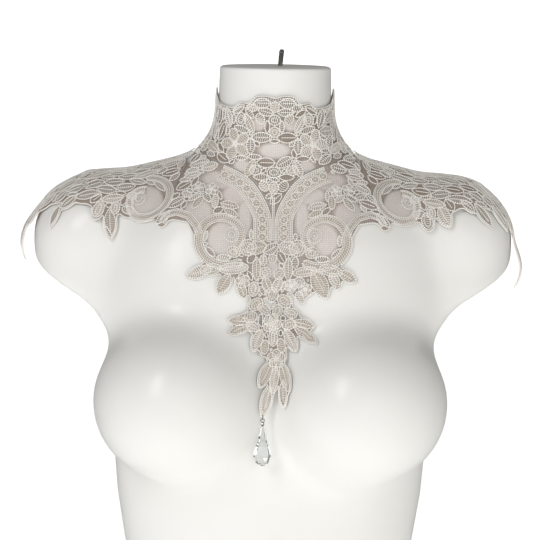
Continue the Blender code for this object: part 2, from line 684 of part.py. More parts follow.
def arches(p: np.ndarray) -> np.ndarray:
    """Distance to the arched bands outside the large scrolls."""
    chart = FaceChart(-1)
    x, z = np.array(ARCH_ROUTE).T
    paths = [chart.surface(side * x, z) for side in (-1, 1)]
    return np.minimum(*(path_distance(p, path) for path in paths)) - ARCH_HALF_WIDTH


def front_panel(ring: np.ndarray) -> Panel:
    """Yoke front with its ringed bands, scrolls, leaf spray and leaf drop."""
    face = FaceChart(-1)

    def raised(_u, _v, p):
        shapes = [seated(p, face, FRONT_PAIRS, side) for side in (-1, 1)]
        shapes += [seated(p, face, SPRAY_LEFT, -1), seated(p, face, SPRAY_RIGHT, 1)]
        shapes += [seated(p, face, CENTRE + DROP, 1), arches(p), bands(p, above_yoke(p, ring))]
        return np.minimum.reduce(shapes)

    def outline(_u, _v, p, motif):
        ground = edge_reach(np.abs(p[..., 0]), FRONT_HEM) - p[..., 2]
        lace = np.minimum(ground, motif - EDGE_MARGIN)
        seams = np.maximum(above_yoke(p, ring), p[..., 1] - SHOULDER_SEAM_Y) + SEAM_GAP / 2
        seams = np.maximum(seams, np.maximum(cap_seam(p, -1), cap_seam(p, 1)) + SEAM_GAP / 2)
        eyelet = EYELET_RADIUS - np.hypot(p[..., 0] - EYELET[0], p[..., 2] - EYELET[1])
        return np.maximum(np.maximum(lace, seams), eyelet)

    return Panel("front_panel", SlantChart(-1), (-98, 98, 84, 322), outline, raised)


def back_panel(ring: np.ndarray, side: int) -> Panel:
    """One half of the yoke's back, from the centre-back opening to the shoulder cap."""
    def raised(_u, _v, p):
        return seated(p, FaceChart(1), BACK_PAIRS, side)

    def outline(_u, _v, p, motif):
        ground = edge_reach(np.abs(p[..., 0]), BACK_HEM) - p[..., 2]
        lace = np.minimum(ground, motif - EDGE_MARGIN)
        seams = np.maximum(above_yoke(p, ring), SHOULDER_SEAM_Y - p[..., 1])
        seams = np.maximum(seams, cap_seam(p, side)) + SEAM_GAP / 2
        return np.maximum(np.maximum(lace, seams), CENTRE_BACK_GAP / 2 - p[..., 0] * side)

    extent = (-2, 98, 200, 322) if side > 0 else (-98, 2, 200, 322)
    return Panel("back_right" if side > 0 else "back_left", SlantChart(1), extent, outline, raised)


def shoulder_cap(side: int) -> Panel:
    """One shoulder cap, which turns over the end of the shoulder into a hanging leaf tip."""
    face = FaceChart(-1)
    front = CAP_FRONT_RIGHT if side > 0 else CAP_FRONT_LEFT
    tip = TIP_RIGHT if side > 0 else TIP_LEFT

    def raised(u, v, p):
        return np.minimum(seated(p, face, CAP_PAIRS + front, side), laid(u, v, CAP_RIDGE + tip))

    def outline(u, v, p, motif):
        before = v - edge_reach(u, CAP_FRONT_HEM)
        behind = -v - edge_reach(u, CAP_BACK_HEM)
        ground = np.maximum(np.maximum(before, behind), u - 186)
        lace = np.minimum(ground, motif - EDGE_MARGIN)
        return np.maximum(lace, SEAM_GAP / 2 - cap_seam(p, side))

    name = "shoulder_right" if side > 0 else "shoulder_left"
    return Panel(name, CapChart(side), (20, 224, -86, 98), outline, raised)


def collar(ring: np.ndarray, name: str, span: tuple[float, float]) -> Panel:
    """A stretch of the high collar between two angles from the front, in degrees."""
    start, end = (math.radians(angle) * COLLAR_RADIUS for angle in span)

    def raised(u, v, _p):
        if name == "collar_front":
            halves = np.minimum(laid(u, v, COLLAR_PAIRS), laid(u, v, COLLAR_PAIRS, -1))
            return np.minimum(halves, laid(u, v, COLLAR_CENTRE))
        return laid(u, v, COLLAR_BACK_PAIRS, 1 if start > 0 else -1)

    def outline(u, v, p, _motif):
        top = edge_reach(np.degrees(np.abs(u)) / COLLAR_RADIUS, COLLAR_TOP)
        ends = np.maximum(start - u, u - end)
        return np.maximum.reduce([v - top, SEAM_GAP / 2 - above_yoke(p, ring), ends])

    return Panel(name, CollarChart(), (start - 3, end + 3, 352, 460), outline, raised)


def contours(field: np.ndarray, u: np.ndarray, v: np.ndarray, level: float) -> list[np.ndarray]:
    """Closed loops where a field on a grid crosses a level, by marching squares."""
    f = np.pad(field - level, 1, constant_values=5.0)
    f = np.where(np.abs(f) < 1e-6, 1e-6, f)
    us = np.concatenate([[u[0] - GRID], u, [u[-1] + GRID]])
    vs = np.concatenate([[v[0] - GRID], v, [v[-1] + GRID]])
    inside = f < 0
    links = {}

    def crossing(i, j, k, m):
        share = f[i, j] / (f[i, j] - f[k, m])
        return (us[j] + share * (us[m] - us[j]), vs[i] + share * (vs[k] - vs[i]))

    case = inside[:-1, :-1] * 1 + inside[:-1, 1:] * 2 + inside[1:, 1:] * 4 + inside[1:, :-1] * 8
    table = {1: ((3, 0),), 2: ((0, 1),), 3: ((3, 1),), 4: ((1, 2),), 5: ((3, 0), (1, 2)),
             6: ((0, 2),), 7: ((3, 2),), 8: ((2, 3),), 9: ((2, 0),), 10: ((0, 1), (2, 3)),
             11: ((2, 1),), 12: ((1, 3),), 13: ((1, 0),), 14: ((0, 3),)}
    for i, j in zip(*np.nonzero((case > 0) & (case < 15))):
        sides = (("h", i, j), ("v", i, j + 1), ("h", i + 1, j), ("v", i, j))
        for start, end in table[int(case[i, j])]:
            links[sides[start]] = sides[end]
    loops = []
    while links:
        key = first = next(iter(links))
        points = []
        while key in links:
            kind, i, j = key
            points.append(crossing(i, j, i, j + 1) if kind == "h" else crossing(i, j, i + 1, j))
            key = links.pop(key)
        if key == first and len(points) > 5:
            loops.append(np.array(points))
    return loops


def simplify(loop: np.ndarray, tolerance: float) -> np.ndarray:
    """Keep only the points that a closed loop needs, within a tolerance."""
    far = int(np.argmax(np.linalg.norm(loop - loop[0], axis=1)))
    ring = np.concatenate([loop, loop[:1]])
    keep = {0, far, len(loop)}
    spans = [(0, far), (far, len(loop))]
    while spans:
        start, end = spans.pop()
        if end - start < 2:
            continue
        chord = ring[end] - ring[start]
        size = np.linalg.norm(chord)
        offset = ring[start + 1:end] - ring[start]
        away = np.abs(offset[:, 0] * chord[1] - offset[:, 1] * chord[0]) / max(size, 1e-9)
        if size < 1e-9:
            away = np.linalg.norm(offset, axis=1)
        worst = int(np.argmax(away))
        if away[worst] > tolerance or size > LONGEST_EDGE:
            middle = start + 1 + worst if away[worst] > tolerance else (start + end) // 2
            keep.add(middle)
            spans += [(start, middle), (middle, end)]
    return ring[sorted(keep - {len(loop)})]


def area(loop: np.ndarray) -> float:
    """Area inside a loop."""
    x, y = loop[:, 0], loop[:, 1]
    return abs(float(x @ np.roll(y, -1) - y @ np.roll(x, -1))) / 2


def within(points: np.ndarray, loops: list[np.ndarray]) -> np.ndarray:
    """Which points lie inside an outline, counting its holes."""
    inside = np.zeros(len(points), dtype=bool)
    for loop in loops:
        a, b = loop, np.roll(loop, -1, axis=0)
        for (x0, y0), (x1, y1) in zip(a, b):
            if y0 == y1:
                continue
            spans = (points[:, 1] < y0) != (points[:, 1] < y1)
            cross = points[:, 0] < x0 + (points[:, 1] - y0) / (y1 - y0) * (x1 - x0)
            inside ^= spans & cross
    return inside


def triangulate(outline: list, inner: list, fill: np.ndarray) -> tuple[np.ndarray, list]:
    """Triangles inside an outline that keep its loops, some inner loops and filling points."""
    points, edges = [], []
    for loop in outline + inner:
        first, count = len(points), len(loop)
        points += [Vector(p) for p in loop.tolist()]
        edges += [(first + k, first + (k + 1) % count) for k in range(count)]
    points += [Vector(p) for p in fill.tolist()]
    verts, _edges, faces, *_rest = delaunay_2d_cdt(points, edges, [], 0, 1e-4)
    flat = np.array([tuple(p) for p in verts])
    middles = np.array([flat[list(face)].mean(axis=0) for face in faces])
    chosen = [face for face, keep in zip(faces, within(middles, outline)) if keep]
    return flat, chosen


def filling(extent: tuple, outline: list, inner: list) -> np.ndarray:
    """Evenly spaced points inside an outline, clear of its loops."""
    u0, u1, v0, v1 = extent
    rows = np.arange(v0, v1, FILL_SPACING * 0.87)
    places = [(u + (k % 2) * FILL_SPACING / 2, v)
              for k, v in enumerate(rows) for u in np.arange(u0, u1, FILL_SPACING)]
    places = np.array(places)
    places = places[within(places, outline)]
    marks = np.concatenate(outline + inner)
    gap = np.linalg.norm(places[:, None] - marks[None], axis=-1).min(axis=1)
    return places[gap > FILL_SPACING * 0.42]


def boundary(faces: list) -> dict[int, int]:
    """Border of a surface: for each point on it, the next point in the faces' direction."""
    seen = {(a, face[(k + 1) % len(face)]) for face in faces for k, a in enumerate(face)}
    return {a: b for a, b in seen if (b, a) not in seen}


def border_loops(flat: np.ndarray, border: dict[int, int]) -> list[np.ndarray]:
    """Closed loops of flat points along a border."""
    left = dict(border)
    loops = []
    while left:
        key = next(iter(left))
        indices = []
        while key in left:
            indices.append(key)
            key = left.pop(key)
        loops.append(flat[indices])
    return loops


def panel_mesh(panel: Panel) -> tuple[np.ndarray, list]:
    """Closed wall of a panel: raised outer face, plain inner face and the edge between them."""
    u0, u1, v0, v1 = panel.extent
    us, vs = np.arange(u0, u1, GRID), np.arange(v0, v1, GRID)
    grid_u, grid_v = np.meshgrid(us, vs)
    outline, raised = panel.measure(grid_u, grid_v, panel.chart.surface(grid_u, grid_v))
    loops = contours(outline, us, vs, 0.0)
    border = max(loops, key=area)
    holes = [loop for loop in loops if loop is not border and area(loop) > SMALLEST_HOLE
             and within(loop[:1], [border])[0]]
    edges = [simplify(loop, OUTLINE_TOLERANCE) for loop in [border, *holes]]
    inner = []
    for level in (0.0, -RELIEF_SLOPE):
        inner += [simplify(loop, RELIEF_TOLERANCE) for loop in contours(raised, us, vs, level)
                  if area(loop) > SMALLEST_RELIEF and within(loop[:1], edges)[0]]
    outer_flat, outer_faces = triangulate(edges, inner, filling(panel.extent, edges, inner))
    edges = border_loops(outer_flat, boundary(outer_faces))
    inner_flat, inner_faces = triangulate(edges, [], filling(panel.extent, edges, []))

    def lift(flat, with_relief):
        points = panel.chart.surface(flat[:, 0], flat[:, 1])
        height = np.full(len(flat), CLEARANCE)
        if with_relief:
            _outline, motif = panel.measure(flat[:, 0], flat[:, 1], points)
            height += WALL + RELIEF * np.clip(-motif / RELIEF_SLOPE, 0, 1)
        return points + normals(points) * height[:, None]

    outer = lift(outer_flat, True)
    inside = lift(inner_flat, False)
    offset = len(outer)
    a, b, c = (outer[list(corner)] for corner in zip(*outer_faces))
    facing = np.sum(np.cross(b - a, c - a) * normals((a + b + c) / 3))
    if facing < 0:
        outer_faces = [tuple(reversed(face)) for face in outer_faces]
    else:
        inner_faces = [tuple(reversed(face)) for face in inner_faces]
    faces = [tuple(face) for face in outer_faces]
    faces += [tuple(k + offset for k in face) for face in inner_faces]
    for start, end in boundary(outer_faces).items():
        twins = [int(np.linalg.norm(inner_flat - outer_flat[k], axis=1).argmin()) + offset
                 for k in (start, end)]
        faces.append((end, start, twins[0]))
        faces.append((end, twins[0], twins[1]))
    return np.concatenate([outer, inside]), faces


def material(name: str, colour: tuple, roughness: float, metallic: float = 0.0,
             transmission: float = 0.0) -> bpy.types.Material:
    """Make a Principled material."""
    made = bpy.data.materials.new(name)
    made.use_nodes = True
    shader = made.node_tree.nodes["Principled BSDF"]
    shader.inputs["Base Color"].default_value = (*colour, 1.0)
    shader.inputs["Roughness"].default_value = roughness
    shader.inputs["Metallic"].default_value = metallic
    shader.inputs["Transmission Weight"].default_value = transmission
    return made


def add_mesh(name: str, points: np.ndarray, faces: list, look: bpy.types.Material) -> bpy.types.Object:
    """Make a named object from points in millimetres."""
    mesh = bpy.data.meshes.new(name)
    mesh.from_pydata([tuple(p) for p in np.asarray(points) * MM], [], faces)
    used = bmesh.new()
    used.from_mesh(mesh)
    loose = [vert for vert in used.verts if not vert.link_faces]
    bmesh.ops.delete(used, geom=loose, context="VERTS")
    used.to_mesh(mesh)
    used.free()
    mesh.materials.append(look)
    mesh.shade_smooth()
    mesh.set_sharp_from_angle(angle=math.radians(40))
    made = bpy.data.objects.new(name, mesh)
    bpy.context.collection.objects.link(made)
    return made


def lathe_faces(rings: int, count: int) -> list:
    """Faces of stacked rings of equal counts, closed at both ends by a pole."""
    faces = []
    for ring in range(rings - 1):
        for k in range(count):
            a, b = ring * count + k, ring * count + (k + 1) % count
            faces.append((a, b, b + count, a + count))
    bottom, top = rings * count, rings * count + 1
    last = (rings - 1) * count
    for k in range(count):
        faces.append(((k + 1) % count, k, bottom))
        faces.append((last + k, last + (k + 1) % count, top))
    return faces


def torso(look: bpy.types.Material) -> None:
    """Display torso: rings of points round its upright axis, flat at the base and the neck."""
    half = SPOKE_ANGLES + (180,)
    turn = np.radians(half + tuple(360 - angle for angle in reversed(SPOKE_ANGLES[1:])))
    out = np.stack([np.sin(turn), -np.cos(turn), np.zeros(len(turn))], axis=-1)
    rings = []
    heights = WAIST_RINGS + CHEST_RINGS + SHOULDER_RINGS + NECK_RINGS
    for z in heights:
        inward = min(max(z, 1.0), NECK_TOP - 1.0)
        middle = np.array([0.0, 0.0, inward])
        ring = trace(torso_distance, middle + out * TORSO_START, -out, TORSO_START)
        if z in (heights[0], heights[-1]):
            ring = middle + (ring - middle) * END_RING_SHARE
        ring[:, 2] = z
        rings.append(ring)
    points = np.concatenate(rings + [[[0, 0, heights[0]]], [[0, 0, heights[-1]]]])
    add_mesh("form_torso", points, lathe_faces(len(heights), len(turn)), look)


def turned(name: str, profile: list[tuple[float, float]], count: int, centre: tuple,
           look: bpy.types.Material, depth: float = 1.0, lean: float = 0.0) -> bpy.types.Object:
    """A body of rings round an upright axis, from (radius, height) rows, bottom to top."""
    turn = np.linspace(0, 2 * math.pi, count, endpoint=False)
    rings = []
    for radius, height in profile:
        ring = np.stack([radius * np.cos(turn), radius * depth * np.sin(turn),
                         np.full(count, height)], axis=-1)
        rings.append(ring + [lean * (height - profile[0][1]) / (profile[-1][1] - profile[0][1]), 0, 0])
    poles = [[[0, 0, profile[0][1]]], [[lean, 0, profile[-1][1]]]]
    points = np.concatenate(rings + poles) + np.array(centre)
    return add_mesh(name, points, lathe_faces(len(profile), count), look)


def rod(look: bpy.types.Material) -> None:
    """Short steel rod that stands on the neck, slightly bent, with a rounded cap."""
    profile = [(ROD_RADIUS, 0.0), (ROD_RADIUS, ROD_HEIGHT * 0.8),
               (ROD_RADIUS * 1.15, ROD_HEIGHT * 0.84), (ROD_RADIUS * 0.7, ROD_HEIGHT)]
    turned("form_rod", profile, 14, (4.0, 0.0, NECK_TOP + 0.3), look, lean=ROD_LEAN)


def torus(name: str, centre: np.ndarray, normal: str, radius: float, wire: float,
          look: bpy.types.Material) -> bpy.types.Object:
    """A closed wire ring about an axis."""
    turn = {"X": (0, math.pi / 2, 0), "Y": (math.pi / 2, 0, 0)}[normal]
    bpy.ops.mesh.primitive_torus_add(
        major_segments=18, minor_segments=6, major_radius=radius * MM, minor_radius=wire * MM,
        location=tuple(np.asarray(centre) * MM), rotation=turn)
    made = bpy.context.object
    made.name = made.data.name = name
    made.data.materials.append(look)
    made.data.shade_smooth()
    return made


def pendant(steel: bpy.types.Material, glass: bpy.types.Material) -> None:
    """Jump ring through the lace's last leaf, a silver bead on it, and the crystal drop."""
    chart = FaceChart(-1)
    seat = chart.surface(np.array([EYELET[0]]), np.array([EYELET[1]]))
    outward = normals(seat)[0]
    eyelet = seat[0] + outward * (CLEARANCE + WALL / 2)
    ring_centre = eyelet - [0, 0, RING_RADIUS]
    torus("jump_ring", ring_centre, "X", RING_RADIUS, RING_WIRE, steel)
    hook = ring_centre[2] - RING_RADIUS + RING_WIRE + EYE_WIRE + 0.3
    eye_centre = np.array([ring_centre[0], ring_centre[1], hook - EYE_RADIUS])
    eye = torus("silver_bead", eye_centre, "Y", EYE_RADIUS, EYE_WIRE, steel)
    bead_z = eye_centre[2] - EYE_RADIUS - BEAD_RADIUS
    bead = [(BEAD_RADIUS * math.sin(a), -BEAD_RADIUS * math.cos(a))
            for a in np.linspace(0.35, math.pi - 0.35, 6)]
    ball = turned("silver_bead_ball", bead, 12, (ring_centre[0], ring_centre[1], bead_z), steel)
    join = eye.modifiers.new("join", "BOOLEAN")
    join.operation = "UNION"
    join.object = ball
    ball.hide_render = True
    ball.display_type = "WIRE"
    top = bead_z - BEAD_RADIUS - 0.3
    crystal(np.array([ring_centre[0], ring_centre[1], top]), glass)


def crystal(top: np.ndarray, look: bpy.types.Material) -> None:
    """Faceted pear-shaped drop: rows of facets, each turned by half a facet from the last."""
    turn = np.linspace(0, 2 * math.pi, CRYSTAL_FACETS, endpoint=False)
    points = []
    for index, (width, drop) in enumerate(CRYSTAL_PROFILE):
        shift = (index % 2) * math.pi / CRYSTAL_FACETS
        points += [(CRYSTAL_HALF_WIDTH * width * math.cos(a + shift),
                    CRYSTAL_HALF_DEPTH * width * math.sin(a + shift), -drop * CRYSTAL_LENGTH)
                   for a in turn]
    count, levels = CRYSTAL_FACETS, len(CRYSTAL_PROFILE)
    faces = []
    for level in range(levels - 1):
        for k in range(count):
            upper, upper_next = level * count + k, level * count + (k + 1) % count
            lower = (level + 1) * count + k
            lower_next = (level + 1) * count + (k + 1) % count
            if level % 2 == 0:
                faces += [(upper, lower, upper_next), (upper_next, lower, lower_next)]
            else:
                faces += [(upper, lower, lower_next), (upper, lower_next, upper_next)]
    points += [(0.0, 0.0, 0.0), (0.0, 0.0, -CRYSTAL_LENGTH)]
    last = (levels - 1) * count
    for k in range(count):
        faces.append((k, (k + 1) % count, levels * count))
        faces.append((last + (k + 1) % count, last + k, levels * count + 1))
    made = add_mesh("crystal_drop", np.array(points) + top, faces, look)
    made.data.shade_flat()


def closure(pearl: bpy.types.Material, cord: bpy.types.Material) -> None:
    """Buttons along the right edge of the centre back, each in a loop from the left edge."""
    chart = CollarChart()
    arc = math.pi * COLLAR_RADIUS
    for index, height in enumerate(BUTTON_HEIGHTS, start=1):
        place = chart.surface(np.array([arc - 6.0]), np.array([height]))
        out = normals(place)[0]
        base = place[0] + out * (CLEARANCE + WALL + BUTTON_SEAT)
        profile = [(BUTTON_NECK_RADIUS, 0.0), (BUTTON_NECK_RADIUS, BUTTON_NECK)]
        profile += [(BUTTON_RADIUS * math.cos(a), BUTTON_RIM + (BUTTON_TOP - BUTTON_RIM) * math.sin(a))
                    for a in np.radians((0, 40, 78))]
        button = turned(f"button_{index}", profile, 10, (0, 0, 0), pearl)
        button.rotation_euler = Vector(out).to_track_quat("Z", "Y").to_euler()
        button.location = Vector(base * MM)
        loop_cord(index, chart, arc, height, cord)


def loop_cord(index: int, chart: Chart, arc: float, height: float, look: bpy.types.Material) -> None:
    """Cord loop that starts on the left half, goes round a button's neck and comes back."""
    reach = BUTTON_NECK_RADIUS + LOOP_WIRE + 0.4
    turns = np.radians(np.linspace(90, 270, 9))
    along = [(arc + 7.0, height + reach * 0.7), (arc + 1.0, height + reach)]
    along += [(arc - 6.0 + reach * math.cos(a), height + reach * math.sin(a)) for a in turns]
    along += [(arc + 1.0, height - reach), (arc + 7.0, height - reach * 0.7)]
    u, v = np.array(along).T
    places = chart.surface(u, v)
    places = places + normals(places) * (CLEARANCE + WALL + BUTTON_SEAT + LOOP_WIRE)
    curve = bpy.data.curves.new(f"button_loop_{index}", "CURVE")
    curve.dimensions = "3D"
    curve.bevel_depth = LOOP_WIRE * MM
    curve.bevel_resolution = 0
    curve.use_fill_caps = True
    spline = curve.splines.new("POLY")
    spline.points.add(len(places) - 1)
    for point, place in zip(spline.points, places * MM):
        point.co = (*place, 1.0)
    curve.materials.append(look)
    made = bpy.data.objects.new(f"button_loop_{index}", curve)
    bpy.context.collection.objects.link(made)


def main() -> None:
    """Build the torso, the lace panels, the pendant and the closure."""
    for existing in list(bpy.data.objects):
        bpy.data.objects.remove(existing)
    plastic = material("white_plastic", (0.86, 0.86, 0.84), 0.25)
    lace = material("ivory_lace", (0.72, 0.67, 0.60), 0.8)
    steel = material("polished_steel", (0.62, 0.61, 0.60), 0.25, metallic=1.0)
    glass = material("clear_crystal", (0.95, 0.96, 0.97), 0.03, transmission=0.9)
    pearl = material("ivory_button", (0.80, 0.75, 0.67), 0.4)
    torso(plastic)
    rod(steel)
    ring = yoke_ring()
    back_end = 180.0 - math.degrees(CENTRE_BACK_GAP / 2 / COLLAR_RADIUS)
    side_gap = math.degrees(SEAM_GAP / COLLAR_RADIUS)
    panels = [
        collar(ring, "collar_front", (-COLLAR_SIDE_SEAM, COLLAR_SIDE_SEAM)),
        collar(ring, "collar_back_right", (COLLAR_SIDE_SEAM + side_gap, back_end)),
        collar(ring, "collar_back_left", (-back_end, -COLLAR_SIDE_SEAM - side_gap)),
        front_panel(ring), back_panel(ring, -1), back_panel(ring, 1),
        shoulder_cap(-1), shoulder_cap(1)]
    for panel in panels:
        points, faces = panel_mesh(panel)
        add_mesh(panel.name, points, faces, lace)
    pendant(steel, glass)
    closure(pearl, lace)


if __name__ == "__main__":
    main()
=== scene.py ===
"""Looks of an ivory corded-lace neckpiece on its glossy white display torso.

The lace is built as it is made: a fine net cut to each panel's shape, satin and hatched fillings
sewn on it, gimp cords couched round every leaf, petal and scroll, and small glass beads. Flat
shapes are drawn in each panel's own coordinates and laid on the cloth by rays. Sizes are in
millimetres inside the script, and meshes are made in metres. +Z is up and the front faces -Y.
"""
import logging
import math
from collections.abc import Callable
from dataclasses import dataclass, field
from enum import Enum

import bmesh
import bpy
import numpy as np
from bpy.types import Material, Node, NodeSocket, NodeTree, Object
from mathutils import Matrix, Vector


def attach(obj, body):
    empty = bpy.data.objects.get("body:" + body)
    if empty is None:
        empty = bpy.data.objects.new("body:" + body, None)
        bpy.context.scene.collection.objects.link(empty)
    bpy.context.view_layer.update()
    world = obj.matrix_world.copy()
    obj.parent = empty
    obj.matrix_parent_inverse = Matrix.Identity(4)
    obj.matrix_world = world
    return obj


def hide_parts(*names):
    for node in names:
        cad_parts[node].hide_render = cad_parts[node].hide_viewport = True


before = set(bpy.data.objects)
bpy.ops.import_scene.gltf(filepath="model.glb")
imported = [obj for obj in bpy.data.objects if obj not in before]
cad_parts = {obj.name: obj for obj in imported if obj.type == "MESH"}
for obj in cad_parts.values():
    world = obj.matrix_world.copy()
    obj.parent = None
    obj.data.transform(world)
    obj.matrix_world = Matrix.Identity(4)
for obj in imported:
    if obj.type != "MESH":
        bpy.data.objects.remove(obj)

LOG = logging.getLogger("neckpiece")
MM = 0.001
BODY = "root"
Array = np.ndarray
Rays = tuple[Array, Array]

# Heights of the lace's layers above the surface it follows
NET_LOW = 1.40
NET_HIGH = 1.65
FILL_FOOT = 1.88
FILL_THICKNESS = 0.15
RIB_HEIGHT = 2.25
CORD_HEIGHT = 2.45

# Lace walls, as cut
GRID = 1.5
SEAM_GAP = 0.5
EDGE_MARGIN = 1.1
EDGE_ROW = 1.7

# Collar and yoke
COLLAR_RADIUS = 50.0
COLLAR_AXIS_Y = 4.0
YOKE_LINE = 393.5
YOKE_RISE = 14.0
YOKE_DIP = 35.0
YOKE_DIP_WIDTH = 13.0
COLLAR_SIDE_SEAM = 98.0
SHOULDER_SEAM_Y = 12.0
CAP_SEAM_X = 82.0
CAP_SEAM_Z = 372.0
CAP_SEAM_SLOPE = 0.52
CENTRE_BACK_GAP = 1.2

# Ringed bands of the front
BAND_HALF_WIDTH = 7.6
BAND_END_X = 46.0
BAND_FOOT_Z = 331.0
BAND_FOOT_X = 9.3
SPINE_TOP_Z = 367.0
RING_PITCH = 7.5
RING_SIZE = 3.2

# Torso
NECK_TOP = 474.0
SHOULDER_INNER = (46.0, 14.0, 346.0)
SHOULDER_OUTER = (158.0, 8.0, 325.0)
ARM_END = (163.0, 6.0, 240.0)
INNER_RADIUS = 53.0
OUTER_RADIUS = 48.0
ARM_RADIUS = 46.0
ARM_CUT = (208.0, 303.0)
ARM_CUT_WAY = (0.5, 0.866)
RIB_TOP = 345.0
MIDLINE_SOFTNESS = 2.0

# Where the lace leaves the torso: the tips of the cape, and the drop before the chest
CAPE_START = (150.0, 8.0, 328.0)
CAPE_RADIUS = 49.0
LEFT_TIP_REACH = (191.0, 3.0, 319.0)
LEFT_TIP_RADIUS = 25.0
RIGHT_TIP_REACH = (191.0, 2.0, 301.0)
RIGHT_TIP_RADIUS = 23.0
HANG_TOP_Z = 262.0
HANG_TOP_Y = -84.0
HANG_SLOPE = 0.25
HANG_HALF_WIDTH = 20.0
HANG_ROOF_Z = 268.0
HANG_FOOT_Z = 182.0
EYELET = (-6.7, 194.2)
EYELET_RADIUS = 1.25

# Shares of a motif's length
PETALS = 5
PETAL_SPAN = 0.46
PETAL_PLACE = 0.27
CURL_PLACE = (-0.36, 0.18)
CURL_RADIUS = 0.33


@dataclass(frozen=True)
class Section:
    """One level of a column of the torso: half width, and depth before and behind its axis."""
    z: float
    half_width: float
    front: float
    back: float


NECK_SECTIONS = (
    Section(300, 58, 50, 70), Section(370, 56, 48, 66), Section(400, 52, 46, 61),
    Section(421, 50, 45, 57), Section(440, 48.5, 44.5, 53), Section(474, 47.5, 44, 49))
RIB_SECTIONS = (
    Section(-5, 116, 78, 66), Section(0, 116, 78, 66), Section(60, 128, 83, 73),
    Section(100, 134, 86, 79), Section(140, 137, 88, 84), Section(190, 138, 90, 90),
    Section(240, 130, 86, 92), Section(290, 118, 72, 90), Section(330, 100, 56, 80),
    Section(360, 70, 40, 60))


@dataclass(frozen=True)
class Swell:
    """A rounded form of the torso's side: centre, half sizes, and how softly it joins."""
    centre: tuple[float, float, float]
    radii: tuple[float, float, float]
    blend: float


CHEST = Swell((62.0, -34.0, 275.0), (68.0, 44.0, 80.0), 40.0)
BUST = Swell((77.0, -72.0, 197.0), (71.0, 70.0, 68.0), 22.0)
BLADE = Swell((70.0, 46.0, 290.0), (62.0, 44.0, 75.0), 40.0)


@dataclass(frozen=True)
class Fillets:
    """How softly the torso's other forms join, in millimetres."""
    rib_top: float = 40.0
    arm: float = 6.0
    arm_cut: float = 9.0
    shoulder: float = 30.0
    neck: float = 38.0
    rim: float = 3.0
    drop: float = 12.0
    cape: float = 14.0


FILLET = Fillets()


@dataclass(frozen=True)
class Motif:
    """One shape of the lace.

    x and y are its place in the panel's own coordinates, angle is the way it grows in degrees
    (0 away from the centre, 90 up), and length and width are its real size.
    """
    kind: str
    x: float
    y: float
    angle: float
    length: float
    width: float


def motifs(*rows: tuple) -> tuple[Motif, ...]:
    """Read rows of (kind, x, y, angle, length, width)."""
    return tuple(Motif(*row) for row in rows)


# Both halves of the front, x away from the centre and y as height, seen from the front
FRONT_PAIRS = motifs(
    ("scroll", 41, 334, 0, 18.6, 6.8),
    ("oval", 20.7, 326.8, 0, 13.4, 13.4),
    ("leaf", 22, 324.5, 166, 18, 10.5),
    ("leaf", 13.5, 319.5, -87, 20, 7),
    ("oval", 32.6, 323.5, 20, 10.5, 9),
    ("leaf", 44, 361, 190, 15.5, 7),
    ("leaf", 41, 356.5, 207, 13, 5.5),
    ("oval", 48.3, 362.5, 90, 13, 5.4),
    ("flower", 51.5, 371.5, 20, 11.5, 5),
    ("flower", 62.5, 372, 0, 12, 5),
    ("oval", 72, 366.5, 20, 10, 6),
    ("oval", 74, 377, -10, 10, 5),
    ("leaf", 58, 366, -60, 15, 6),
    ("leaf", 60, 383, -20, 16, 6.5))
SPRAY_LEFT = motifs(
    ("leaf", 49, 311, -19, 22.5, 9),
    ("oval", 51, 309.5, -10, 17, 9),
    ("leaf", 35, 306, -57, 18.5, 9.5),
    ("oval", 32, 310.5, 175, 24, 9),
    ("flower", 24.5, 300.5, 0, 12, 5.6),
    ("leaf", 27, 299, -108, 13.5, 7),
    ("oval", 15.5, 294, -80, 12, 8.5))
SPRAY_RIGHT = motifs(
    ("oval", 48, 310, -10, 19, 9),
    ("leaf", 54, 309.5, -29, 16.5, 8),
    ("oval", 51, 302.5, -60, 12.5, 7.5),
    ("leaf", 33.5, 310, -62, 25, 13),
    ("oval", 27, 308.5, 10, 20, 8),
    ("flower", 16, 297, 0, 11, 5.2),
    ("oval", 22.5, 300, 0, 9, 8),
    ("flower", 27.5, 294.5, 30, 11, 5.2),
    ("oval", 23, 288.5, -60, 9, 6.5))
CENTRE = motifs(
    ("oval", 0, 318, 0, 7.5, 7.5),
    ("oval", 0, 289.5, 0, 11, 11.5),
    ("oval", -6.3, 306.5, 90, 10, 9),
    ("oval", 6, 306, 90, 9.5, 8.5),
    ("leaf", -2, 291, 112, 13.5, 8),
    ("leaf", 2, 291, 68, 13.5, 8))
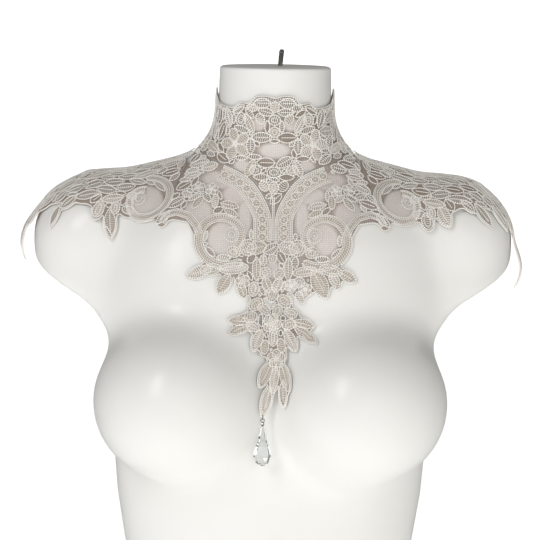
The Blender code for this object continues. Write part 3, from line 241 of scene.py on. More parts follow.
DROP = motifs(
    ("oval", -13.5, 281.5, 40, 13, 9.5),
    ("oval", -17.5, 271.5, 10, 11, 8.5),
    ("oval", -15.5, 264, -25, 11, 8),
    ("oval", -6.5, 277, 130, 13, 8),
    ("oval", 10.5, 284.5, -40, 12.5, 9.5),
    ("oval", 16, 275, -12, 12, 8.5),
    ("oval", 14.5, 266, 25, 11.5, 8),
    ("oval", 5, 276, 80, 12, 8),
    ("flower", 0.5, 266, 0, 16, 7),
    ("leaf", -18, 268, 178, 18, 7.5),
    ("leaf", -19, 265, 204, 18, 6.5),
    ("leaf", -8, 262, 247, 19.5, 8.5),
    ("leaf", 18, 269, -15, 18, 7.5),
    ("leaf", 18, 265.5, -36, 25, 7.5),
    ("leaf", 11, 263, -62, 21, 8.5),
    ("oval", -5.5, 247.5, 80, 12, 6.5),
    ("oval", 8.5, 249, -78, 12, 6.5),
    ("oval", 1.5, 255, 90, 14, 7.5),
    ("flower", 4.5, 238.5, 18, 15.5, 6.8),
    ("leaf", 1, 236.5, 245, 24, 9),
    ("leaf", 5, 233, -97, 24, 7.5),
    ("leaf", 8.5, 235.5, -67, 26, 8.5),
    ("leaf", 11, 222, -80, 22, 7.5),
    ("leaf", 0, 217, 255, 25, 8.5),
    ("oval", -6.7, 194.2, 0, 3.6, 3.6))

# Both shoulders, seen from the front: x away from the centre, y as height
CAP_PAIRS = motifs(
    ("scroll", 106, 361.5, 200, 18, 6.2),
    ("oval", 119, 363, 10, 9, 7.5),
    ("leaf", 126, 362, -12, 20, 8),
    ("leaf", 146, 364.5, -2, 22, 8.5),
    ("oval", 122, 352, 15, 11, 7),
    ("oval", 133, 353.5, -80, 11, 7.5),
    ("leaf", 85, 353, -50, 16, 7))
CAP_FRONT_LEFT = motifs(
    ("leaf", 138, 353, -94, 24, 9.5),
    ("oval", 147, 352.5, -70, 14, 8.5),
    ("leaf", 166, 362, -50, 17, 7.5),
    ("leaf", 180, 353.5, -76, 18, 6))
CAP_FRONT_RIGHT = motifs(
    ("oval", 129.5, 347, -80, 14, 10),
    ("leaf", 140, 358, -62, 18, 10),
    ("leaf", 158, 363, -40, 14, 6.5),
    ("leaf", 169, 361, -62, 24, 8),
    ("leaf", 184, 358, -62, 25, 8))

# Top of both shoulders, in the cap's flat coordinates: x along the ridge, y towards the front
CAP_RIDGE = motifs(
    ("leaf", 44, 24, 8, 24, 8.5),
    ("leaf", 62, 16, -22, 24, 9),
    ("leaf", 60, 4, 18, 26, 9),
    ("leaf", 84, 12, 20, 26, 9),
    ("leaf", 86, 2, -25, 26, 9),
    ("leaf", 112, 14, 12, 26, 9),
    ("leaf", 112, 2, -16, 26, 9),
    ("flower", 108, 7, 0, 15, 6.5),
    ("flower", 142, 4, 0, 14, 6),
    ("leaf", 148, 8, 18, 26, 8),
    ("leaf", 148, -2, -18, 26, 8),
    ("scroll", 66, -32, 160, 17, 6.2),
    ("leaf", 90, -30, 5, 24, 9),
    ("leaf", 94, -42, -60, 18, 8),
    ("leaf", 116, -26, -10, 22, 8.5),
    ("leaf", 122, -34, -60, 16, 7.5),
    ("leaf", 70, -52, -80, 16, 8))
TIP_LEFT = motifs(("leaf", 158, 5, 0, 42, 15))
TIP_RIGHT = motifs(("leaf", 160, 5, 0, 54, 14))

# Both halves of the back, seen from behind: x away from the centre, y as height
BACK_PAIRS = motifs(
    ("scroll", 42, 346, 0, 18, 6.5),
    ("oval", 12, 380, 90, 14, 8),
    ("oval", 12, 362, 90, 14, 8),
    ("leaf", 9, 350, -80, 22, 9),
    ("leaf", 22, 330, -110, 20, 9),
    ("leaf", 34, 323, -80, 18, 9),
    ("leaf", 56, 327, -65, 20, 9),
    ("leaf", 70, 340, -40, 22, 9),
    ("flower", 66, 366, 0, 14, 6),
    ("leaf", 28, 378, 12, 20, 8),
    ("leaf", 50, 376, -15, 20, 7.5),
    ("oval", 78, 356, -40, 12, 7))

# Both halves of the collar: x as the arc from the centre front, y as height
COLLAR_PAIRS = motifs(
    ("flower", 33, 410, 0, 27, 8.5),
    ("oval", 29, 431, 100, 11, 9),
    ("leaf", 39, 424, 70, 17, 8),
    ("leaf", 17, 420, 62, 18, 6.5),
    ("oval", 12, 432, 60, 9, 7),
    ("oval", 19, 441, 10, 9, 6),
    ("leaf", 16, 398, -70, 16, 7),
    ("oval", 14.5, 389, 0, 9, 8),
    ("oval", 7.5, 376, 60, 9, 7),
    ("leaf", 47, 402, 25, 18, 7),
    ("leaf", 56, 412, 62, 22, 8),
    ("leaf", 66, 420, 80, 26, 8.5),
    ("flower", 68, 407, 0, 18, 6.5),
    ("leaf", 78, 410, 75, 24, 8))
COLLAR_CENTRE = motifs(
    ("oval", 0, 431, 0, 9.5, 8.5),
    ("oval", 0, 442, 90, 9, 7),
    ("oval", 0, 421, 90, 9, 8),
    ("oval", 0, 387.5, 0, 11, 9),
    ("oval", 0, 375, 90, 10, 7.5))
COLLAR_BACK_PAIRS = motifs(
    ("leaf", 94, 404, 78, 22, 8),
    ("flower", 110, 416, 0, 20, 7),
    ("leaf", 104, 428, 50, 16, 7),
    ("leaf", 124, 404, 70, 20, 8),
    ("oval", 126, 434, 60, 12, 8),
    ("leaf", 140, 408, 84, 26, 8.5))


@dataclass(frozen=True)
class EdgePoint:
    """One turn of an edge: how far along it lies, and its height or distance there."""
    along: float
    reach: float


def edge(*rows: tuple[float, float]) -> tuple[EdgePoint, ...]:
    """Read rows of (along, reach)."""
    return tuple(EdgePoint(*row) for row in rows)


COLLAR_TOP = edge(
    (0, 449.0), (9, 451.0), (17, 450.5), (26, 444.0), (34, 445.0), (44, 440.0), (55, 441.0),
    (66, 443.0), (78, 449.0), (88, 455.5), (98, 449.0), (112, 446.0), (126, 448.0),
    (140, 446.0), (154, 448.0), (168, 445.0), (180, 447.0))
FRONT_HEM = edge(
    (0, 288.0), (8, 288.0), (14, 296.0), (22, 300.0), (32, 304.0), (44, 312.0), (52, 312.0),
    (60, 320.0), (64, 336.0), (72, 346.0), (82, 347.0), (92, 345.0), (110, 340.0))
BACK_HEM = edge(
    (0, 342.0), (10, 338.0), (20, 324.0), (34, 320.0), (52, 324.0), (66, 334.0), (80, 343.0),
    (96, 350.0), (120, 350.0))
CAP_FRONT_HEM = edge(
    (0, 66.0), (40, 66.0), (62, 68.5), (78, 65.0), (88, 57.0), (100, 54.0), (112, 46.0),
    (124, 42.0), (138, 34.0), (150, 26.0), (164, 17.0), (176, 10.0), (190, 3.0))
CAP_BACK_HEM = edge(
    (0, 62.0), (60, 60.0), (84, 56.0), (104, 48.0), (124, 38.0), (146, 26.0), (162, 15.0),
    (176, 8.0), (190, 1.0))
ARCH_ROUTE = (
    (92.0, 344.0), (88.0, 350.5), (80.0, 353.0), (70.0, 350.5), (63.0, 343.0), (60.5, 336.0))


@dataclass(frozen=True)
class Window:
    """A place where the net is left bare, as an oval in the same view as the motifs there."""
    x: float
    y: float
    half_width: float
    half_height: float


FRONT_WINDOWS = (
    Window(41.0, 334.0, 12.5, 12.5), Window(62.0, 354.0, 11.0, 9.0),
    Window(24.0, 350.0, 5.0, 15.0), Window(32.0, 368.0, 10.0, 7.0),
    Window(45.0, 379.0, 14.0, 6.0), Window(0.0, 310.0, 6.0, 7.0))
CAP_WINDOWS = (Window(106.0, 360.0, 14.0, 11.0),)
COLLAR_WINDOWS = (
    Window(0.0, 405.5, 12.0, 6.0), Window(14.0, 427.0, 6.0, 5.0), Window(26.0, 392.0, 6.0, 5.0))
BACK_WINDOWS = (Window(42.0, 346.0, 12.0, 12.0), Window(26.0, 362.0, 9.0, 8.0))


def smooth_min(a: Array, b: Array, blend: float) -> Array:
    """Join two distance fields with a fillet."""
    h = np.clip(0.5 + 0.5 * (b - a) / blend, 0, 1)
    return b * (1 - h) + a * h - blend * h * (1 - h)


def smooth_max(a: Array, b: Array, blend: float) -> Array:
    """Cut one distance field by another with a rounded edge."""
    return -smooth_min(-a, -b, blend)


def ellipsoid(p: Array, centre: tuple, radii: tuple) -> Array:
    """Distance to an ellipsoid."""
    q = (p - np.array(centre)) / np.array(radii)
    size = np.linalg.norm(q, axis=-1)
    slope = np.linalg.norm(q / np.array(radii), axis=-1)
    return size * (size - 1) / np.maximum(slope, 1e-9)


def round_cone(p: Array, start: tuple, end: tuple, r_start: float, r_end: float) -> Array:
    """Distance to a capsule whose radius changes along its axis."""
    a = np.array(start)
    axis = np.array(end) - a
    t = np.clip(((p - a) @ axis) / (axis @ axis), 0, 1)
    return np.linalg.norm(p - (a + t[..., None] * axis), axis=-1) - (r_start + (r_end - r_start) * t)


def column(p: Array, sections: tuple[Section, ...]) -> Array:
    """Distance to an upright column of half-elliptical sections."""
    z = [s.z for s in sections]
    width = np.interp(p[..., 2], z, [s.half_width for s in sections])
    front = np.interp(p[..., 2], z, [s.front for s in sections])
    back = np.interp(p[..., 2], z, [s.back for s in sections])
    depth = np.where(p[..., 1] < 0, front, back)
    ratio = np.sqrt((p[..., 0] / width) ** 2 + (p[..., 1] / depth) ** 2)
    return (ratio - 1) * np.minimum(width, depth)


def torso_distance(points: Array) -> Array:
    """Distance to the display torso, whose halves mirror each other.

    Args:
        points: places in millimetres, with x, y, z last.

    Returns:
        Signed distances, negative inside.
    """
    p = np.array(points, dtype=float)
    p[..., 0] = np.sqrt(p[..., 0] ** 2 + MIDLINE_SOFTNESS ** 2)
    trunk = smooth_max(column(p, RIB_SECTIONS), p[..., 2] - RIB_TOP, FILLET.rib_top)
    shoulder = round_cone(p, SHOULDER_INNER, SHOULDER_OUTER, INNER_RADIUS, OUTER_RADIUS)
    arm = round_cone(p, SHOULDER_OUTER, ARM_END, OUTER_RADIUS, ARM_RADIUS)
    shoulder = smooth_min(shoulder, arm, FILLET.arm)
    cut = (p[..., 0] - ARM_CUT[0]) * ARM_CUT_WAY[0] - (p[..., 2] - ARM_CUT[1]) * ARM_CUT_WAY[1]
    shoulder = smooth_max(shoulder, cut, FILLET.arm_cut)
    body = smooth_min(trunk, shoulder, FILLET.shoulder)
    body = smooth_min(body, column(p, NECK_SECTIONS), FILLET.neck)
    for swell in (CHEST, BUST, BLADE):
        body = smooth_min(body, ellipsoid(p, swell.centre, swell.radii), swell.blend)
    body = smooth_max(body, p[..., 2] - NECK_TOP, FILLET.rim)
    return smooth_max(body, -p[..., 2], FILLET.rim)


def drape_distance(points: Array) -> Array:
    """Distance to the surface that the lace follows.

    It is the torso, but for the leaf drop, which hangs straight before the valley of the chest,
    and the tips of the cape, which stand off the ends of the shoulders.

    Args:
        points: places in millimetres, with x, y, z last.

    Returns:
        Signed distances, negative inside.
    """
    p = np.array(points, dtype=float)
    hang_y = HANG_TOP_Y - (HANG_TOP_Z - p[..., 2]) * HANG_SLOPE
    plate = np.maximum(hang_y - p[..., 1], np.abs(p[..., 0]) - HANG_HALF_WIDTH)
    plate = np.maximum(plate, np.maximum(p[..., 2] - HANG_ROOF_Z, HANG_FOOT_Z - p[..., 2]))
    plate = np.maximum(plate, p[..., 1])
    drape = smooth_min(torso_distance(p), plate, FILLET.drop)
    for side, reach, radius in ((-1, LEFT_TIP_REACH, LEFT_TIP_RADIUS),
                                (1, RIGHT_TIP_REACH, RIGHT_TIP_RADIUS)):
        tip = round_cone(p * np.array([side, 1, 1]), CAPE_START, reach, CAPE_RADIUS, radius)
        drape = smooth_min(drape, tip, FILLET.cape)
    return drape


def normals(points: Array) -> Array:
    """Outward unit normals of the surface that the lace follows."""
    step = 0.4
    gradient = np.stack([drape_distance(points + axis) - drape_distance(points - axis)
                         for axis in np.eye(3) * step], axis=-1)
    return gradient / np.linalg.norm(gradient, axis=-1, keepdims=True)


def trace(distance: Callable[[Array], Array], starts: Array,
          directions: Array, reach: float) -> Array:
    """Follow rays inwards until they meet a surface.

    Args:
        distance: the surface's distance function.
        starts: where the rays start.
        directions: their unit directions.
        reach: how far a ray may go, in millimetres.

    Returns:
        The places they meet, or nan for a ray that misses.
    """
    travel = np.zeros(starts.shape[:-1])
    for _ in range(60):
        travel += 0.8 * distance(starts + travel[..., None] * directions)
        travel = np.minimum(travel, reach)
    points = starts + travel[..., None] * directions
    points[travel >= reach] = np.nan
    return points


class Chart:
    """A map from flat coordinates, in mm, to points on the surface that the lace follows."""

    reach = 400.0

    def rays(self, u: Array, v: Array) -> Rays:
        """Start and direction of the ray for each place."""
        raise NotImplementedError

    def surface(self, u: Array, v: Array) -> Array:
        """Points on the surface; nan where the chart misses it."""
        starts, directions = self.rays(np.asarray(u, float), np.asarray(v, float))
        return trace(drape_distance, starts, directions, self.reach)


@dataclass(frozen=True)
class FaceChart(Chart):
    """Level rays from the front (-1) or the back (1): places as seen in an upright view."""
    facing: int

    def rays(self, u: Array, v: Array) -> Rays:
        """Start and direction of the ray for each place."""
        starts = np.stack([u, np.full_like(u, self.facing * 200.0), v], axis=-1)
        return starts, np.broadcast_to([0.0, -self.facing, 0.0], starts.shape)


@dataclass(frozen=True)
class SlantChart(Chart):
    """Rays that come down on the chest (-1) or the back (1), so that the yoke lies flat in it."""
    facing: int
    rise: float = 0.6

    def rays(self, u: Array, v: Array) -> Rays:
        """Start and direction of the ray for each place."""
        level = math.sqrt(1 - self.rise ** 2)
        out = np.array([0.0, self.facing * level, self.rise])
        up = np.array([0.0, -self.facing * self.rise, level])
        starts = u[..., None] * np.array([1.0, 0, 0]) + v[..., None] * up + 230.0 * out
        return starts, np.broadcast_to(-out, starts.shape)


@dataclass(frozen=True)
class CollarChart(Chart):
    """Level rays towards the axis of the neck: u as the arc from the front, v as height."""
    reach: float = 80.0

    def rays(self, u: Array, v: Array) -> Rays:
        """Start and direction of the ray for each place."""
        angle = u / COLLAR_RADIUS
        out = np.stack([np.sin(angle), -np.cos(angle), np.zeros_like(angle)], axis=-1)
        axis = np.stack([np.zeros_like(v), np.full_like(v, COLLAR_AXIS_Y), v], axis=-1)
        return axis + out * 88.0, -out


@dataclass(frozen=True)
class CapChart(Chart):
    """Rays towards the shoulder's axis, and past its end towards its end point.

    u runs out along the ridge and then down over the end, v runs towards the front.
    """
    side: int
    reach: float = 120.0

    def rays(self, u: Array, v: Array) -> Rays:
        """Start and direction of the ray for each place."""
        mirror = np.array([self.side, 1, 1])
        axis = (np.array(SHOULDER_OUTER) - np.array(SHOULDER_INNER)) * mirror
        length = np.linalg.norm(axis)
        along = axis / length
        across = np.array([0.0, -1.0, 0.0])
        across = across - along * (across @ along)
        across /= np.linalg.norm(across)
        up = np.cross(across, along) * self.side
        bend = np.maximum(u - length, 0) / COLLAR_RADIUS
        turn = v / COLLAR_RADIUS
        base = np.array(SHOULDER_INNER) * mirror + np.minimum(u, length)[..., None] * along
        lifted = np.cos(bend)[..., None] * up + np.sin(bend)[..., None] * along
        out = np.cos(turn)[..., None] * lifted + np.sin(turn)[..., None] * across
        return base + out * 130.0, -out


def leaf_shape(a: Array, b: Array, length: float, width: float) -> Array:
    """Distance to a pointed leaf from its base at 0 to its tip at length."""
    radius = (length ** 2 + width ** 2) / (4 * width)
    return np.hypot(a - length / 2, np.abs(b) + radius - width / 2) - radius


def oval_shape(a: Array, b: Array, length: float, width: float) -> Array:
    """Distance to an oval about its centre."""
    ratio = np.hypot(a / (length / 2), b / (width / 2))
    return (ratio - 1) * min(length, width) / 2


def flower_shape(a: Array, b: Array, length: float, width: float) -> Array:
    """Distance to a flower of five petals; length is its span and width a petal's width."""
    turn = np.arctan2(b, a)
    sector = 2 * math.pi / PETALS
    turn = (turn + sector / 2) % sector - sector / 2
    radius = np.hypot(a, b)
    along, across = radius * np.cos(turn), radius * np.sin(turn)
    return oval_shape(along - length * PETAL_PLACE, across, length * PETAL_SPAN, width)


def scroll_path(radius: float) -> Array:
    """Middle line of a scroll band: a C that winds in from its open foot to its curl."""
    turns = np.radians(np.linspace(-130, 228, 34))
    share = np.linspace(0, 1, 34)
    reach = radius * (1.30 - 0.95 * share + 1.45 * share ** 2 - 1.25 * share ** 3)
    return np.stack([reach * np.cos(turns), reach * np.sin(turns)], axis=-1)


def path_distance(p: Array, path: Array) -> Array:
    """Distance from points to a broken line, in any number of dimensions."""
    nearest = np.full(p.shape[:-1], np.inf)
    for start, end in zip(path[:-1], path[1:]):
        axis = end - start
        t = np.clip(((p - start) @ axis) / (axis @ axis), 0, 1)
        nearest = np.minimum(nearest, np.linalg.norm(p - (start + t[..., None] * axis), axis=-1))
    return nearest


def scroll_shape(a: Array, b: Array, length: float, width: float) -> Array:
    """Distance to a C-scroll; length is its radius and width its band's width."""
    band = path_distance(np.stack([a, b], axis=-1), scroll_path(length)) - width / 2
    disc = np.hypot(a - length * CURL_PLACE[0], b - length * CURL_PLACE[1]) - length * CURL_RADIUS
    return np.minimum(band, disc)


SHAPES = {"leaf": leaf_shape, "oval": oval_shape, "flower": flower_shape, "scroll": scroll_shape}


def edge_reach(along: Array, rows: tuple[EdgePoint, ...]) -> Array:
    """Height of an edge, with rounded turns between the rows of its table.

    Args:
        along: places along the edge.
        rows: the edge's table.

    Returns:
        Its height or distance at each place.
    """
    at = np.array([row.along for row in rows])
    reach = np.array([row.reach for row in rows])
    fine = np.linspace(at[0], at[-1], 240)
    index = np.clip(np.searchsorted(at, fine) - 1, 0, len(at) - 2)
    t = (fine - at[index]) / (at[index + 1] - at[index])
    eased = reach[index] + (reach[index + 1] - reach[index]) * (3 * t ** 2 - 2 * t ** 3)
    return np.interp(along, fine, eased)


def yoke_height(p: Array) -> Array:
    """Height of the seam between collar and yoke: a deep V in front, higher round the sides."""
    dip = YOKE_DIP / (1 + (p[..., 0] / YOKE_DIP_WIDTH) ** 2)
    forward = COLLAR_AXIS_Y - p[..., 1]
    turned_front = np.maximum(forward, 0) / np.maximum(np.hypot(p[..., 0], forward), 1e-6)
    rise = YOKE_RISE * (1 - turned_front) ** 1.5
    return YOKE_LINE + rise - np.where(p[..., 1] < 0, dip, 0)


def yoke_ring() -> Array:
    """Points of the seam between collar and yoke, all round the neck."""
    turn = np.radians(np.arange(0, 361, 3.0))
    chart = CollarChart()
    height = np.full_like(turn, YOKE_LINE)
    for _ in range(12):
        height = 0.5 * (height + yoke_height(chart.surface(turn * COLLAR_RADIUS, height)))
    return chart.surface(turn * COLLAR_RADIUS, height)


RING = yoke_ring()


def above_yoke(p: Array) -> Array:
    """Signed distance to the collar seam: positive on the collar, negative on the yoke."""
    return np.where(p[..., 2] > yoke_height(p), 1.0, -1.0) * path_distance(p, RING)


def cap_seam(p: Array, side: int) -> Array:
    """Signed distance to the seam of a shoulder cap: positive on the cap."""
    across = p[..., 0] * side - CAP_SEAM_X + CAP_SEAM_SLOPE * (p[..., 2] - CAP_SEAM_Z)
    return across / math.hypot(1, CAP_SEAM_SLOPE)


def bands_distance(p: Array) -> Array:
    """Distance to the two ringed bands: along the V of the collar, then straight down."""
    upper = np.abs(above_yoke(p) + BAND_HALF_WIDTH + 1.2) - BAND_HALF_WIDTH
    upper = np.maximum(upper, np.maximum(np.abs(p[..., 0]) - BAND_END_X, p[..., 1] + 6))
    lower = np.abs(np.abs(p[..., 0]) - BAND_FOOT_X) - BAND_HALF_WIDTH
    lower = np.maximum(lower, np.maximum(BAND_FOOT_Z - p[..., 2], p[..., 2] - 357))
    return np.maximum(np.minimum(upper, np.maximum(lower, p[..., 1] + 6)), 1.1 - np.abs(p[..., 0]))


class Filling(Enum):
    """How the inside of a motif is worked."""
    OPEN = 0
    HATCHED = 1
    SATIN = 2
    BEADED = 3


@dataclass
class Placed:
    """A motif laid in a chart, or seated in an upright view and drawn in the surface there."""
    motif: Motif
    side: int
    chart: Chart
    seated: bool
    filling: Filling = Filling.SATIN
    centre: Array | None = None
    along: Array | None = None
    across: Array | None = None

    def turned(self, a: Array, b: Array) -> tuple[Array, Array]:
        """Turn the motif's own coordinates by its angle."""
        turn = math.radians(self.motif.angle)
        return (a * math.cos(turn) - b * math.sin(turn), a * math.sin(turn) + b * math.cos(turn))

    def rays(self, flat: Array) -> Rays:
        """Rays that lay flat places of the motif on the cloth.

        Args:
            flat: places (along, across) in the motif's own coordinates.

        Returns:
            Starts and unit directions.
        """
        a, b = self.turned(flat[..., 0], flat[..., 1])
        if not self.seated:
            return self.chart.rays(self.side * (self.motif.x + a), self.motif.y + b)
        out = np.cross(self.along, self.across)
        if out @ normals(self.centre[None])[0] < 0:
            out = -out
        places = self.centre + self.along * (self.side * a)[..., None] + self.across * b[..., None]
        return places + out * 22.0, np.broadcast_to(-out, places.shape)

    def distance(self, u: Array, v: Array, points: Array) -> Array:
        """Distance to the motif from chart places and their points.

        Args:
            u, v: the places in the motif's chart.
            points: the same places on the surface.

        Returns:
            Distances in millimetres, and infinity far from the motif.
        """
        motif = self.motif
        if self.seated:
            offset = points - self.centre
            a, b = offset @ self.along * self.side, offset @ self.across
            far = np.linalg.norm(offset, axis=-1) > 2 * motif.length + 25
        else:
            a, b = u * self.side - motif.x, v - motif.y
            far = np.hypot(a, b) > 2 * motif.length + 25
        turn = math.radians(motif.angle)
        along = a * math.cos(turn) + b * math.sin(turn)
        across = b * math.cos(turn) - a * math.sin(turn)
        return np.where(far, np.inf, SHAPES[motif.kind](along, across, motif.length, motif.width))


def seat(rows: list[Placed]) -> None:
    """Find the centre and the tangents of all seated motifs that share a chart."""
    for chart in {row.chart for row in rows if row.seated}:
        group = [row for row in rows if row.seated and row.chart == chart]
        u = np.array([row.motif.x * row.side for row in group])
        v = np.array([row.motif.y for row in group])
        p = chart.surface(u, v)
        along = chart.surface(u + 1.0, v) - p
        across = chart.surface(u, v + 1.0) - p
        along /= np.linalg.norm(along, axis=1, keepdims=True)
        across -= along * np.sum(across * along, axis=1, keepdims=True)
        across /= np.linalg.norm(across, axis=1, keepdims=True)
        for k, row in enumerate(group):
            row.centre, row.along, row.across = p[k], along[k], across[k]


def place(rows: tuple[Motif, ...], side: int, chart: Chart, seated: bool) -> list[Placed]:
    """Give each row of a table its side, chart and way of lying.

    Args:
        rows: the table.
        side: -1 or 1, which mirrors it, or 1 for the centre.
        chart: where its places are given.
        seated: whether each motif is drawn in the surface at its seat.

    Returns:
        The motifs, not yet seated.
    """
    return [Placed(row, side, chart, seated) for row in rows]


@dataclass
class Strip:
    """A worked patch: a middle line with its half width at each point, in flat coordinates."""
    middle: Array
    half: Array
    rise: float


@dataclass
class Line:
    """One cord or thread in flat coordinates."""
    points: Array
    radius: float
    closed: bool = False
    height: float = CORD_HEIGHT


@dataclass
class Drawing:
    """All strips, lines and bead places of one motif, in its own flat coordinates."""
    strips: list[Strip] = field(default_factory=list)
    lines: list[Line] = field(default_factory=list)
    beads: list[tuple[float, float, float]] = field(default_factory=list)


@dataclass(frozen=True)
class Gauge:
    """Thread sizes in millimetres."""
    edge_cord: float = 0.56
    cord: float = 0.50
    fine_cord: float = 0.38
    thread: float = 0.30
    rib_pitch: float = 1.75
    cord_step: float = 1.05
    purl: float = 0.20
    strip_step: float = 0.85
    bead: float = 0.62
    bead_pitch: float = 1.9
    rib_slant: float = 0.35
    fan_slant: float = 0.1
    inner_cord: float = 2.3
    satin_rise: float = 0.2
    bead_rise: float = 0.75
    band_bead_rise: float = 0.6
    ring_rise: float = 0.1
    edge_rise: float = 0.35
    edge_bead_rise: float = 0.7
    edge_bead: float = 1.25


GAUGE = Gauge()


@dataclass(frozen=True)
class Filler:
    """Rules for the small shapes between the drawn motifs, in millimetres or shares."""
    limit: int = 320
    dense_gap: float = 1.4
    open_gap: float = 1.9
    border: float = 0.9
    bare_edge: float = 0.3
    reach: float = 8.0
    overlap: float = 1.2
    gap_share: float = 1.9
    slim_share: float = 0.55
    widest: float = 8.5
    leaf_ratio: float = 1.5
    apart: float = 0.2


FILLER = Filler()


def run_along(path: Array) -> Array:
    """Distance along a path to each of its points."""
    return np.concatenate([[0], np.cumsum(np.linalg.norm(np.diff(path, axis=0), axis=1))])


def normal_to(path: Array) -> Array:
    """Unit normals of a flat path, on its left."""
    tangent = np.gradient(path, axis=0)
    tangent /= np.maximum(np.linalg.norm(tangent, axis=1, keepdims=True), 1e-9)
    return np.stack([-tangent[:, 1], tangent[:, 0]], axis=1)


def resampled(path: Array, step: float, closed: bool = False) -> Array:
    """Points at even steps along a path.

    Args:
        path: points in any number of dimensions.
        step: spacing wanted, in the path's own unit.
        closed: whether the path returns to its start.

    Returns:
        The new points, without a repeated end on a closed path.
    """
    ring = np.concatenate([path, path[:1]]) if closed else path
    run = run_along(ring)
    count = max(int(round(run[-1] / step)), 6 if closed else 2)
    at = np.linspace(0, run[-1], count + 1)
    at = at[:-1] if closed else at
    return np.stack([np.interp(at, run, ring[:, k]) for k in range(ring.shape[1])], axis=1)


def leaf_half(a: Array, length: float, width: float) -> Array:
    """Half width of a pointed leaf along it."""
    radius = (length ** 2 + width ** 2) / (4 * width)
    inside = np.maximum(radius ** 2 - (a - length / 2) ** 2, 0)
    return np.maximum(np.sqrt(inside) - (radius - width / 2), 0)


def oval_half(a: Array, length: float, width: float) -> Array:
    """Half width of an oval along it."""
    return width / 2 * np.sqrt(np.maximum(1 - (2 * a / length) ** 2, 0))


def stations(middle: Array, half: Array, start: float, pitch: float,
             short: float) -> list[tuple[Array, Array, float]]:
    """Even stations along a strip.

    Args:
        middle: the strip's middle line, flat.
        half: its half width at each point of the line.
        start: run along the line to the first station.
        pitch: run from one station to the next.
        short: how far before the line's end the stations stop.

    Returns:
        Each station's place, its unit way to the left, and the half width there.
    """
    run, side = run_along(middle), normal_to(middle)
    found = []
    for at in np.arange(start, run[-1] - short, pitch):
        centre, out = (np.array([np.interp(at, run, rows[:, k]) for k in (0, 1)])
                       for rows in (middle, side))
        found.append((centre, out, float(np.interp(at, run, half))))
    return found


def ribs(middle: Array, half: Array, slant: float) -> list[Line]:
    """Satin threads laid across a strip, each turned a little along it.

    Args:
        middle: the strip's middle line, flat.
        half: its half width at each point of the line.
        slant: how far a thread's ends lie ahead, as a share of its half length.

    Returns:
        The threads.
    """
    made = []
    for centre, out, width in stations(middle, half, GAUGE.rib_pitch, GAUGE.rib_pitch, 0.6):
        reach = width - 0.35
        if reach < 0.6:
            continue
        ahead = np.array([out[1], -out[0]]) * slant * reach
        ends = [centre - out * reach + ahead, centre, centre + out * reach + ahead]
        made.append(Line(np.array(ends), GAUGE.thread, height=RIB_HEIGHT))
    return made


def bead_rows(middle: Array, half: Array) -> list[tuple[float, float, float]]:
    """Places (along, across, size) for beads in rows on a strip."""
    places = []
    for centre, out, width in stations(middle, half, GAUGE.bead_pitch * 0.7, GAUGE.bead_pitch, 0.0):
        reach = width - 1.3
        if reach < 0.2:
            continue
        count = max(int(reach * 2 / GAUGE.bead_pitch), 1)
        for share in (np.linspace(-1, 1, count) if count > 1 else [0.0]):
            places.append((*(centre + out * reach * share), 1.0))
    return places


